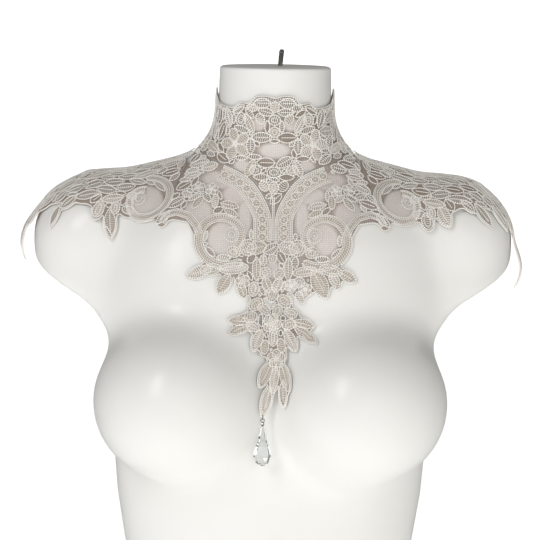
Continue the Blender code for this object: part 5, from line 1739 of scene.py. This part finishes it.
class Lacework:
    """All the work sewn on one panel's net: patches, cords, threads and beads."""

    def __init__(self, panel: Panel) -> None:
        """Start with no work on the panel."""
        self.panel = panel
        self.patches = Laid()
        self.patch_faces: list[tuple[int, ...]] = []
        self.patch_uv: list[Array] = []
        self.threads = Laid()
        self.thread_edges: list[tuple[int, int]] = []
        self.thickness: list[Array] = []
        self.beads = Laid()
        self.bead_sizes: list[float] = []

    def strip(self, rays: Rays, run: Array, across: Array,
              rise: float) -> None:
        """Add a closed patch from a grid of rays, rows along it and columns across.

        Args:
            rays: starts and directions, each (rows, columns, 3).
            run: distance along the patch of each row.
            across: distance across it of each place, (rows, columns).
            rise: height of its crown over its edges.
        """
        rows, columns = rays[0].shape[:2]
        share = np.linspace(-1, 1, columns)
        wave = 0.05 * np.where(np.arange(rows) % 2 == 0, 1.0, -1.0)[:, None]
        height = FILL_FOOT + (rise + wave) * (1 - share ** 2)[None, :]
        flat = np.stack([np.broadcast_to(run[:, None], across.shape), across], axis=-1)
        layers = []
        for level in (height, np.full_like(height, FILL_FOOT - FILL_THICKNESS)):
            first = self.patches.add(rays, np.broadcast_to(level, (rows, columns)))
            layers.append(first + np.arange(rows * columns).reshape(rows, columns))
            self.patch_uv.append(flat.reshape(-1, 2))
        rims = []
        for index in layers:
            quads = np.stack([index[:-1, :-1], index[1:, :-1], index[1:, 1:], index[:-1, 1:]], axis=-1)
            self.patch_faces += [tuple(face) for face in quads.reshape(-1, 4).tolist()]
            rims.append(np.concatenate(
                [index[0], index[1:, -1], index[-1, -2::-1], index[-2:0:-1, 0]]))
        walls = np.stack([rims[0], rims[1], np.roll(rims[1], -1), np.roll(rims[0], -1)], axis=-1)
        self.patch_faces += [tuple(face) for face in walls.tolist()]

    def line(self, rays: Rays, radius: float, closed: bool,
             height: float = CORD_HEIGHT) -> None:
        """Add a cord from the rays of its points."""
        first = self.threads.add(rays, height)
        count = len(rays[0])
        self.thread_edges += [(first + k, first + k + 1) for k in range(count - 1)]
        if closed:
            self.thread_edges.append((first + count - 1, first))
        purl = np.where(np.arange(count) % 2 == 0, 1 + GAUGE.purl, 1 - GAUGE.purl)
        self.thickness.append(radius * MM * (purl if count > 3 else np.ones(count)))

    def motif(self, placed: Placed, drawing: Drawing) -> None:
        """Lay one motif's drawing on the cloth.

        Args:
            placed: where the motif lies.
            drawing: its strips, lines and beads, in its own coordinates.
        """
        for strip in drawing.strips:
            columns = 5 if strip.half.max() > 2.2 else 4
            share = np.linspace(-1, 1, columns)
            across = strip.half[:, None] * share[None, :]
            side = normal_to(strip.middle)
            flat = strip.middle[:, None, :] + side[:, None, :] * across[..., None]
            self.strip(placed.rays(flat), run_along(strip.middle), across, strip.rise)
        for line in drawing.lines:
            short = len(line.points) <= 3
            points = line.points if short else resampled(line.points, GAUGE.cord_step, line.closed)
            self.line(placed.rays(points), line.radius, line.closed, line.height)
        if drawing.beads:
            rows = np.array(drawing.beads)
            self.beads.add(placed.rays(rows[:, :2]), FILL_FOOT + GAUGE.bead_rise)
            self.bead_sizes += rows[:, 2].tolist()

    def band(self, band: Band, half: float, offsets: tuple, rise: float) -> None:
        """Work a band: a patch with cords along it.

        Args:
            band: its path on the cloth.
            half: half its width.
            offsets: distance to the left and radius of each cord.
            rise: height of its crown over its edges.
        """
        run = np.arange(0, band.run[-1], GAUGE.strip_step)
        across = np.broadcast_to(half * np.linspace(-1, 1, 7)[None, :], (len(run), 7))
        self.strip(band.rays(np.broadcast_to(run[:, None], across.shape), across), run, across, rise)
        fine = np.arange(0, band.run[-1], GAUGE.cord_step)
        for offset, radius in offsets:
            self.line(band.rays(fine, np.full_like(fine, offset)), radius, False)

    def beading(self, band: Band, run: Array, across: Array, size: float) -> None:
        """Sew beads on a band, at the given runs along it and distances to its left."""
        self.beads.add(band.rays(run, across), FILL_FOOT + GAUGE.band_bead_rise)
        self.bead_sizes += [size] * len(run)

    def ring(self, band: Band, at: float, across: float, size: float, radius: float) -> None:
        """Add a cord ring on a band."""
        turn = np.linspace(0, 2 * math.pi, 16, endpoint=False)
        rays = band.rays(at + size * np.cos(turn), across + size * np.sin(turn))
        self.line(rays, radius, True, CORD_HEIGHT + GAUGE.ring_rise)

    def build(self, cords: CordTree, beads: BeadTree, satin: Material,
              gimp: Material, seed: Material) -> list[Object]:
        """Make the pieces of this panel's work.

        Args:
            cords: the tree that makes cords.
            beads: the tree that makes beads.
            satin, gimp, seed: finishes of the patches, the cords and the beads.

        Returns:
            The pieces, named for the panel.
        """
        made = []
        if self.patch_faces:
            patch = new_object(f"{self.panel.name}_satin", self.patches.points(), [], self.patch_faces)
            worked = bmesh.new()
            worked.from_mesh(patch.data)
            bmesh.ops.recalc_face_normals(worked, faces=worked.faces)
            worked.to_mesh(patch.data)
            worked.free()
            store_flat(patch, "work", np.concatenate(self.patch_uv))
            patch.data.shade_smooth()
            patch.data.materials.append(satin)
            made.append(patch)
        lines = new_object("lines", self.threads.points(), self.thread_edges, [])
        store_numbers(lines, "thickness", np.concatenate(self.thickness))
        made.append(cords.make(f"{self.panel.name}_cords", lines, Sides=5, Finish=gimp))
        if self.bead_sizes:
            places = new_object("places", self.beads.points(), [], [])
            store_numbers(places, "size", self.bead_sizes)
            made.append(beads.make(f"{self.panel.name}_beads", places, Radius=GAUGE.bead * MM,
                                   Seed=7, Finish=seed))
        return made


class Ground:
    """A panel's fields on a grid, and the net cut from them."""

    def __init__(self, panel: Panel, placed: list[Placed]) -> None:
        """Measure the panel's fields from its edges and its placed motifs."""
        u0, u1, v0, v1 = panel.extent
        self.panel = panel
        self.us, self.vs = np.arange(u0, u1, GRID), np.arange(v0, v1, GRID)
        self.u, self.v = np.meshgrid(self.us, self.vs)
        points = panel.chart.surface(self.u, self.v)
        missed = np.isnan(points[..., 0])
        self.points = np.where(missed[..., None], 1000.0, points)
        shapes = [row.distance(self.u, self.v, self.points) for row in placed]
        if panel.name == "front_panel":
            shapes += [bands_distance(self.points), arches_distance(self.points)]
        self.motif = np.minimum.reduce(shapes)
        free = panel.free_edge(self.u, self.v, self.points, self.motif)
        self.free = np.where(missed, 20.0, free)
        self.seam = np.where(missed, 20.0, panel.seam_edge(self.u, self.v, self.points))
        self.outline = np.maximum(self.free, self.seam)
        self.window = panel.window(self.u, self.v, self.points)

    def sample(self, grid: Array, u: Array, v: Array) -> Array:
        """Read a field at flat places, by the nearest point of the grid."""
        j = np.clip(np.rint((u - self.us[0]) / GRID).astype(int), 0, len(self.us) - 1)
        i = np.clip(np.rint((v - self.vs[0]) / GRID).astype(int), 0, len(self.vs) - 1)
        return grid[i, j]

    def clipped(self) -> tuple[Array, list[tuple[int, ...]]]:
        """Flat mesh of the net inside its outline.

        Returns:
            Flat points and faces.
        """
        field_values, inside = self.outline, self.outline < 0
        index: dict[tuple, int] = {}
        flat: list[tuple[float, float]] = []
        faces: list[tuple[int, ...]] = []

        def point(key: tuple, place_uv: tuple[float, float]) -> int:
            """Index of a flat point, which is added where it is new."""
            if key not in index:
                index[key] = len(flat)
                flat.append(place_uv)
            return index[key]

        def crossing(here: tuple[int, int], after: tuple[int, int]) -> int:
            """Index of the point where the outline cuts a side of the grid."""
            (i, j), (k, m) = sorted((here, after))
            share = field_values[i, j] / (field_values[i, j] - field_values[k, m])
            share = min(max(share, 0.12), 0.88)
            return point((i, j, k, m), (self.us[j] + share * (self.us[m] - self.us[j]),
                                        self.vs[i] + share * (self.vs[k] - self.vs[i])))

        near = inside[:-1, :-1] | inside[:-1, 1:] | inside[1:, 1:] | inside[1:, :-1]
        for i, j in zip(*(axis.tolist() for axis in np.nonzero(near))):
            corners = ((i, j), (i, j + 1), (i + 1, j + 1), (i + 1, j))
            ring = []
            for k, here in enumerate(corners):
                after = corners[(k + 1) % 4]
                if inside[here]:
                    ring.append(point(here, (self.us[here[1]], self.vs[here[0]])))
                if inside[here] != inside[after]:
                    ring.append(crossing(here, after))
            faces.append(tuple(ring))
        return np.array(flat), faces

    def net(self, finish: Material) -> tuple[Object, list[Array]]:
        """The net as a thin closed shell, and the flat loops of its border."""
        flat, faces = self.clipped()
        points = self.panel.chart.surface(flat[:, 0], flat[:, 1])
        out = normals(points)
        count = len(flat)
        a, b, c = (points[[face[k] for face in faces]] for k in range(3))
        if np.sum(np.cross(b - a, c - a) * out[[face[0] for face in faces]]) < 0:
            faces = [tuple(reversed(face)) for face in faces]
        links = {(face[k], face[(k + 1) % len(face)]) for face in faces for k in range(len(face))}
        rim = {start: end for start, end in links if (end, start) not in links}
        walls = [(end, start, start + count, end + count) for start, end in rim.items()]
        below = [tuple(k + count for k in reversed(face)) for face in faces]
        shell = np.concatenate([points + out * NET_HIGH, points + out * NET_LOW])
        made = new_object(f"{self.panel.name}_net", shell, [], faces + below + walls)
        store_flat(made, "cut", np.concatenate([flat, flat]))
        window = self.sample(self.window, flat[:, 0], flat[:, 1])
        # How close the net is sets its cover and its painted shade, and falls away into the windows of
        # bare net.
        close = self.panel.closeness_and_shade * np.clip(0.35 + window / 3.0, 0.04, 1.0)
        store_numbers(made, "closeness_and_shade", np.concatenate([close, close]))
        made.data.shade_smooth()
        made.data.materials.append(finish)
        return made, self.loops(flat, rim)

    @staticmethod
    def loops(flat: Array, rim: dict[int, int]) -> list[Array]:
        """Closed loops of flat points along the border."""
        left, found = dict(rim), []
        while left:
            key = min(left)
            indices = []
            while key in left:
                indices.append(key)
                key = left.pop(key)
            found.append(flat[indices])
        return found

    def edge_cords(self, work: Lacework, loops: list[Array]) -> None:
        """Couch a cord along the free edges of the net, and none along its seams."""
        for loop in loops:
            if len(loop) < 8:
                continue
            smooth = (np.roll(loop, 1, axis=0) + 2 * loop + np.roll(loop, -1, axis=0)) / 4
            keep = self.sample(self.free, loop[:, 0], loop[:, 1]) > \
                self.sample(self.seam, loop[:, 0], loop[:, 1])
            whole = bool(keep.all())
            if whole:
                pieces = [smooth]
            else:
                first = int(np.argmin(keep))
                order = np.roll(np.arange(len(loop)), -first)
                cuts = np.split(order, np.nonzero(np.diff(keep[order].astype(int)))[0] + 1)
                pieces = [smooth[cut] for cut in cuts if keep[cut[0]] and len(cut) > 3]
            for piece in pieces:
                points = resampled(piece, GAUGE.cord_step, whole)
                rays = self.panel.chart.rays(points[:, 0], points[:, 1])
                work.line(rays, GAUGE.edge_cord, whole, NET_HIGH + GAUGE.edge_rise)
                if self.panel.name.startswith("collar"):
                    rays = self.panel.chart.rays(points[::2, 0], points[::2, 1] - EDGE_ROW)
                    work.beads.add(rays, NET_HIGH + GAUGE.edge_bead_rise)
                    work.bead_sizes += [GAUGE.edge_bead] * len(rays[0])
                    rays = self.panel.chart.rays(points[:, 0], points[:, 1] - 2 * EDGE_ROW)
                    work.line(rays, GAUGE.fine_cord, False)

    def fill(self, smallest: float) -> list[Placed]:
        """Place small leaves and ovals in the gaps between the drawn motifs.

        Args:
            smallest: the least half width of a gap worth filling.

        Returns:
            The new motifs, laid in the panel's chart.
        """
        free = np.minimum(-self.outline - FILLER.border, self.window - FILLER.bare_edge)
        free = np.minimum(self.motif, free)
        made = []
        ways = np.radians(np.arange(0, 180, 15.0))
        steps = np.arange(0.0, FILLER.reach + 1.0)
        for _ in range(FILLER.limit):
            i, j = np.unravel_index(int(np.argmax(free)), free.shape)
            half = free[i, j]
            if half < smallest:
                break
            u, v = self.us[j], self.vs[i]
            best = (-1.0, 0.0, 0.0, 0.0)
            for way in ways:
                reach = []
                for sign in (-1, 1):
                    values = self.sample(free, u + sign * steps * math.cos(way),
                                         v + sign * steps * math.sin(way))
                    stop = np.nonzero(values < FILLER.border)[0]
                    reach.append(float(steps[max(stop[0] - 1, 0)]) if len(stop) else FILLER.reach)
                if sum(reach) > best[0]:
                    best = (sum(reach), way, reach[0], reach[1])
            length = best[0] + FILLER.overlap
            width = min(half * FILLER.gap_share, length * FILLER.slim_share + 1.0, FILLER.widest)
            shift = (best[3] - best[2]) / 2
            u, v = u + shift * math.cos(best[1]), v + shift * math.sin(best[1])
            way = best[1] + (math.pi if (i + j) % 2 else 0.0)
            if length > width * FILLER.leaf_ratio:
                u, v = u - math.cos(way) * length / 2, v - math.sin(way) * length / 2
                motif = Motif("leaf", u, v, math.degrees(way), length, width)
            else:
                motif = Motif("oval", u, v, math.degrees(way), max(length, width), width)
            row = Placed(motif, 1, self.panel.chart, False)
            made.append(row)
            free = np.minimum(free, row.distance(self.u, self.v, self.points) - FILLER.apart)
            free[i, j] = min(free[i, j], 0.0)
        return made


def arches_distance(p: Array) -> Array:
    """Distance to the arched bands outside the large scrolls."""
    chart = FaceChart(-1)
    x, z = np.array(ARCH_ROUTE).T
    return np.minimum(*(path_distance(p, chart.surface(side * x, z)) for side in (-1, 1))) - 3.0


def band_path(side: int) -> Array:
    """Middle line of one ringed band, from its foot up and out along the collar seam."""
    chart = FaceChart(-1)
    z = np.arange(BAND_FOOT_Z, 352.0, 2.0)
    foot = chart.surface(np.full_like(z, BAND_FOOT_X * side), z)
    x = np.arange(14.0, BAND_END_X, 2.0) * side
    height = np.full_like(x, 372.0)
    for _ in range(24):
        p = chart.surface(x, height)
        height = height - 0.6 * (above_yoke(p) + BAND_HALF_WIDTH + 1.2)
    path = np.concatenate([foot, chart.surface(x, height)])
    path = resampled(path, 2.0)
    for _ in range(6):
        path[1:-1] = (path[:-2] + 2 * path[1:-1] + path[2:]) / 4
    return path


class Neckpiece:
    """The whole lace: eight panels of net with their work."""

    def __init__(self) -> None:
        """Make the finishes and the trees that all panels share."""
        self.net = BobbinNet().material()
        self.gimp = GimpCord().material()
        self.satin = SatinStitch().material()
        self.seed = GlassSeed().material()
        self.cords = CordTree()
        self.beads = BeadTree()
        self.pattern = Pattern()

    def dress(self, panel: Panel) -> list[Object]:
        """Build one panel and everything on it.

        Args:
            panel: the piece of lace.

        Returns:
            Its net first, then its work.
        """
        placed = panel.placed()
        seat(placed)
        ground = Ground(panel, placed)
        for k, row in enumerate(placed):
            row.filling = panel.fillings[k % 3]
        dense = panel.name in ("front_panel", "collar_front")
        extra = ground.fill(FILLER.dense_gap if dense else FILLER.open_gap)
        for k, row in enumerate(extra):
            row.filling = (Filling.OPEN, panel.fillings[1], Filling.HATCHED)[k % 3]
        work = Lacework(panel)
        for row in placed + extra:
            work.motif(row, self.pattern.draw(row))
        if panel.name == "front_panel":
            self.bands(work)
        sheet, loops = ground.net(self.net)
        ground.edge_cords(work, loops)
        parts = work.build(self.cords, self.beads, self.satin, self.gimp, self.seed)
        for part in [sheet, *parts]:
            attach(part, BODY)
        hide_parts(panel.name)
        return [sheet, *parts]

    def bands(self, work: Lacework) -> None:
        """Work the two ringed bands and the two arches of the front."""
        chart = FaceChart(-1)
        x, z = np.array(ARCH_ROUTE).T
        for side in (-1, 1):
            band = Band(band_path(side))
            offsets = ((-7.3, GAUGE.cord), (-5.7, GAUGE.cord), (-4.3, GAUGE.fine_cord),
                       (4.3, GAUGE.fine_cord), (5.7, GAUGE.cord), (7.3, GAUGE.cord))
            work.band(band, 7.2, offsets, 0.0)
            for at in np.arange(RING_SIZE + 1.0, band.run[-1] - RING_SIZE, RING_PITCH):
                work.ring(band, at, 0.0, RING_SIZE, GAUGE.cord)
                work.beading(band, np.array([at, at + RING_PITCH / 2, at + RING_PITCH / 2]),
                             np.array([0.0, 2.4, -2.4]), 1.5)
            for offset in (-6.5, 6.5):
                ladder = np.arange(0.8, band.run[-1], 1.7)
                work.beading(band, ladder, np.full_like(ladder, offset), 0.8)
            arch = Band(chart.surface(side * x, z))
            work.band(arch, 2.8, ((-2.9, GAUGE.cord), (-1.5, GAUGE.fine_cord), (1.5, GAUGE.fine_cord),
                                  (2.9, GAUGE.cord)), 0.0)
            ladder = np.arange(0.8, arch.run[-1], 1.7)
            work.beading(arch, ladder, np.zeros_like(ladder), 0.9)
        spine_z = np.linspace(SPINE_TOP_Z, BAND_FOOT_Z, 24)
        spine = Band(chart.surface(np.zeros_like(spine_z), spine_z))
        work.band(spine, 1.1, ((-0.9, GAUGE.cord), (0.9, GAUGE.cord)), 0.0)


class DisplayTorso:
    """The glossy limbless torso that the lace rests on."""

    rings: tuple[float, ...] = (
        0.0, 4.0, 38.0, 74.0, 108.0, 138.0, 162.0, 182.0, 200.0, 214.0, 226.0, 236.0, 243.0, 249.0,
        255.0, 262.0, 270.0, 278.0, 285.0, 291.0, 297.0, 303.0, 310.0, 319.0, 329.0, 338.0, 347.0,
        355.0, 362.0, 369.0, 376.0, 383.0, 390.0, 397.0, 404.0, 412.0, 423.0, 440.0, 458.0, 471.0,
        474.0)
    spokes: int = 232
    between: int = 5

    def build(self) -> Object:
        """Make the torso and hand over from its CAD node."""
        at = np.arange(len(self.rings))
        fine = np.linspace(0, at[-1], at[-1] * self.between + 1)
        heights = np.interp(fine, at, self.rings)
        turn = np.linspace(0, 2 * math.pi, self.spokes, endpoint=False)
        out = np.stack([np.sin(turn), -np.cos(turn), np.zeros_like(turn)], axis=-1)
        level = np.clip(heights, 0.6, NECK_TOP - 0.6)
        middle = np.stack([np.zeros_like(level), np.zeros_like(level), level], axis=-1)[:, None, :]
        directions = np.broadcast_to(-out, (len(level), *out.shape))
        ring = trace(torso_distance, middle + out * 330.0, directions, 330.0)
        caps = []
        for edge_ring in (ring[0], ring[-1]):
            centre = edge_ring.mean(axis=0)
            caps.append([centre + (edge_ring - centre) * share for share in (0.97, 0.6)])
        foot, head = heights[0], heights[-1]
        lower = [np.column_stack([row[:, :2], np.full(len(row), foot)]) for row in reversed(caps[0])]
        upper = [np.column_stack([row[:, :2], np.full(len(row), head)]) for row in caps[1]]
        rows = lower + list(ring) + upper
        points = np.concatenate(rows + [[[0.0, 0.0, foot]], [[0.0, 0.0, head]]])
        faces = lathe_faces(len(rows), len(turn), upward=True)
        made = new_object("form_torso_gloss", points, [], faces)
        made.data.shade_smooth()
        made.data.set_sharp_from_angle(angle=math.radians(50))
        made.data.materials.append(MouldedPlastic().material())
        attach(made, BODY)
        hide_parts("form_torso")
        return made


@dataclass(frozen=True)
class LongCutDrop:
    """The crystal drop with its long facets, which the CAD node has in short rows."""
    spokes: int = 16
    flute: float = 0.93
    rows: tuple[tuple[float, float], ...] = (
        (0.16, 0.0), (0.46, 0.33), (0.93, 0.64), (1.0, 0.76), (0.72, 0.925), (0.26, 0.992))

    def build(self) -> Object:
        """Make the drop in the box of the CAD node that it takes over from."""
        node_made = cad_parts["crystal_drop"]
        corners = np.array([node_made.matrix_world @ Vector(c) for c in node_made.bound_box]) / MM
        low, high = corners.min(axis=0), corners.max(axis=0)
        middle, half = (low + high) / 2, (high - low) / 2
        turn = np.linspace(0, 2 * math.pi, self.spokes, endpoint=False) + 0.2
        reach = np.where(np.arange(self.spokes) % 2, self.flute, 1.0)
        points = [(middle[0] + half[0] * share * r * math.sin(a),
                   middle[1] - half[1] * share * r * math.cos(a), high[2] - 2 * half[2] * drop)
                  for share, drop in self.rows for a, r in zip(turn, reach)]
        points += [(middle[0], middle[1], high[2]), (middle[0], middle[1], low[2])]
        faces = lathe_faces(len(self.rows), self.spokes, upward=False)
        made = new_object("crystal_drop_cut", points, [], faces)
        made.data.materials.append(CutCrystal().material())
        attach(made, BODY)
        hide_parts("crystal_drop")
        return made


class Fittings:
    """The CAD nodes that keep their shape and get a finer finish."""

    def dress(self) -> list[str]:
        """Give each carried-over node its material."""
        steel = DrawnSteel().material()
        silver = DrawnSteel("#DEDCDA", "#A5A29F").material()
        pearl = PearlButton().material()
        cord = PearlButton("#EFE7DB", "#CFC3B3").material()
        looks = {"form_rod": steel, "jump_ring": silver, "silver_bead": silver}
        for index in (1, 2, 3, 4):
            looks[f"button_{index}"] = pearl
            looks[f"button_loop_{index}"] = cord
        for name, look in looks.items():
            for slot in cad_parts[name].material_slots:
                slot.material = look
        return sorted(looks)


@dataclass(frozen=True)
class Studio:
    """Camera, light and sweep of the photograph's studio; lengths in metres."""
    distance: float = 1.5
    pitch: float = 9.0
    roll: float = 0.9
    target: tuple[float, float, float] = (-0.002, 0.0, 0.2976)
    view_width: float = 0.4698
    sweep_start: float = 2.7
    sweep_bend: float = 0.9

    def camera(self) -> None:
        """Place the camera at the photograph's angle."""
        pitch, roll = math.radians(self.pitch), math.radians(self.roll)
        back = Vector((0.0, -math.cos(pitch), math.sin(pitch)))
        right = Vector((1.0, 0.0, 0.0))
        up = back.cross(right)
        right_rolled = right * math.cos(roll) + up * math.sin(roll)
        up_rolled = up * math.cos(roll) - right * math.sin(roll)
        data = bpy.data.cameras.new("camera")
        data.sensor_fit = "HORIZONTAL"
        data.lens = data.sensor_width * self.distance / self.view_width
        made = bpy.data.objects.new("camera", data)
        turn = Matrix((right_rolled, up_rolled, back)).transposed().to_4x4()
        made.matrix_world = Matrix.Translation(Vector(self.target) + back * self.distance) @ turn
        bpy.context.collection.objects.link(made)
        bpy.context.scene.camera = made

    def lamp(self, name: str, place_at: tuple, power: float, size: tuple, colour: str) -> None:
        """Hang a soft lamp of a given width and height that faces the chest.

        Args:
            name: the lamp's name.
            place_at: where it hangs, in metres.
            power: its power in watts.
            size: its width and height, in metres.
            colour: its hex colour.
        """
        data = bpy.data.lights.new(name, "AREA")
        data.energy = power
        data.shape = "RECTANGLE"
        data.size, data.size_y = size
        data.color = linear(colour)[:3]
        made = bpy.data.objects.new(name, data)
        made.location = place_at
        made.rotation_euler = (Vector((0, 0, 0.3)) - Vector(place_at)).to_track_quat("-Z", "Y").to_euler()
        made.visible_glossy = name == "key"
        bpy.context.collection.objects.link(made)

    def sweep(self) -> None:
        """Lay the paper floor, which turns up behind the object."""
        start, bend = self.sweep_start, self.sweep_bend
        profile = [(-3.0, 0.0), (start, 0.0)]
        profile += [(start + bend * math.sin(a), bend - bend * math.cos(a))
                    for a in np.linspace(0, math.pi / 2, 14)[1:]]
        profile.append((start + bend, 3.2))
        points = [(x, y * 1000, z * 1000) for x in (-3000, 3000) for y, z in profile]
        count = len(profile)
        faces = [(k, k + count, k + count + 1, k + 1) for k in range(count - 1)]
        made = new_object("paper_sweep", np.array(points), [], faces)
        made.data.shade_smooth()
        made.data.materials.append(PaperSweep().material())
        made.data.materials.append(PaperSweep(glow=0.72).material())
        made.data.polygons[0].material_index = 1
        made.visible_glossy = False

    def build(self) -> None:
        """Set up the whole studio."""
        self.camera()
        self.sweep()
        self.lamp("key", (-1.1, -1.8, 1.6), 17.0, (0.5, 1.2), "#FCFCFF")
        self.lamp("front", (0.5, -2.0, 0.9), 8.5, (1.0, 1.0), "#FFFDF9")
        self.lamp("low", (0.2, -2.0, 0.15), 6.5, (1.0, 1.0), "#FFFEFC")
        self.lamp("top", (0.0, -0.2, 2.2), 2.0, (1.2, 1.2), "#FFF9F0")
        world = bpy.data.worlds.new("studio")
        world.use_nodes = True
        world.node_tree.nodes["Background"].inputs["Color"].default_value = linear("#FDFCFA")
        world.node_tree.nodes["Background"].inputs["Strength"].default_value = 0.14
        bpy.context.scene.world = world
        bpy.context.scene.view_settings.view_transform = "Standard"


def main() -> None:
    """Build the studio, the torso, the lace and the fittings."""
    logging.basicConfig(level=logging.INFO, format="%(message)s")
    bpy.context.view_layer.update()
    Studio().build()
    torso = DisplayTorso().build()
    LOG.info("%s: %d faces", torso.name, len(torso.data.polygons))
    crystal = LongCutDrop().build()
    neckpiece = Neckpiece()
    for panel in panels():
        for part in neckpiece.dress(panel):
            LOG.info("%s: %d faces", part.name, len(part.data.polygons))
    LOG.info("%s: %d faces", crystal.name, len(crystal.data.polygons))
    for name in Fittings().dress():
        LOG.info("%s keeps its shape", name)


if __name__ == "__main__":
    main()
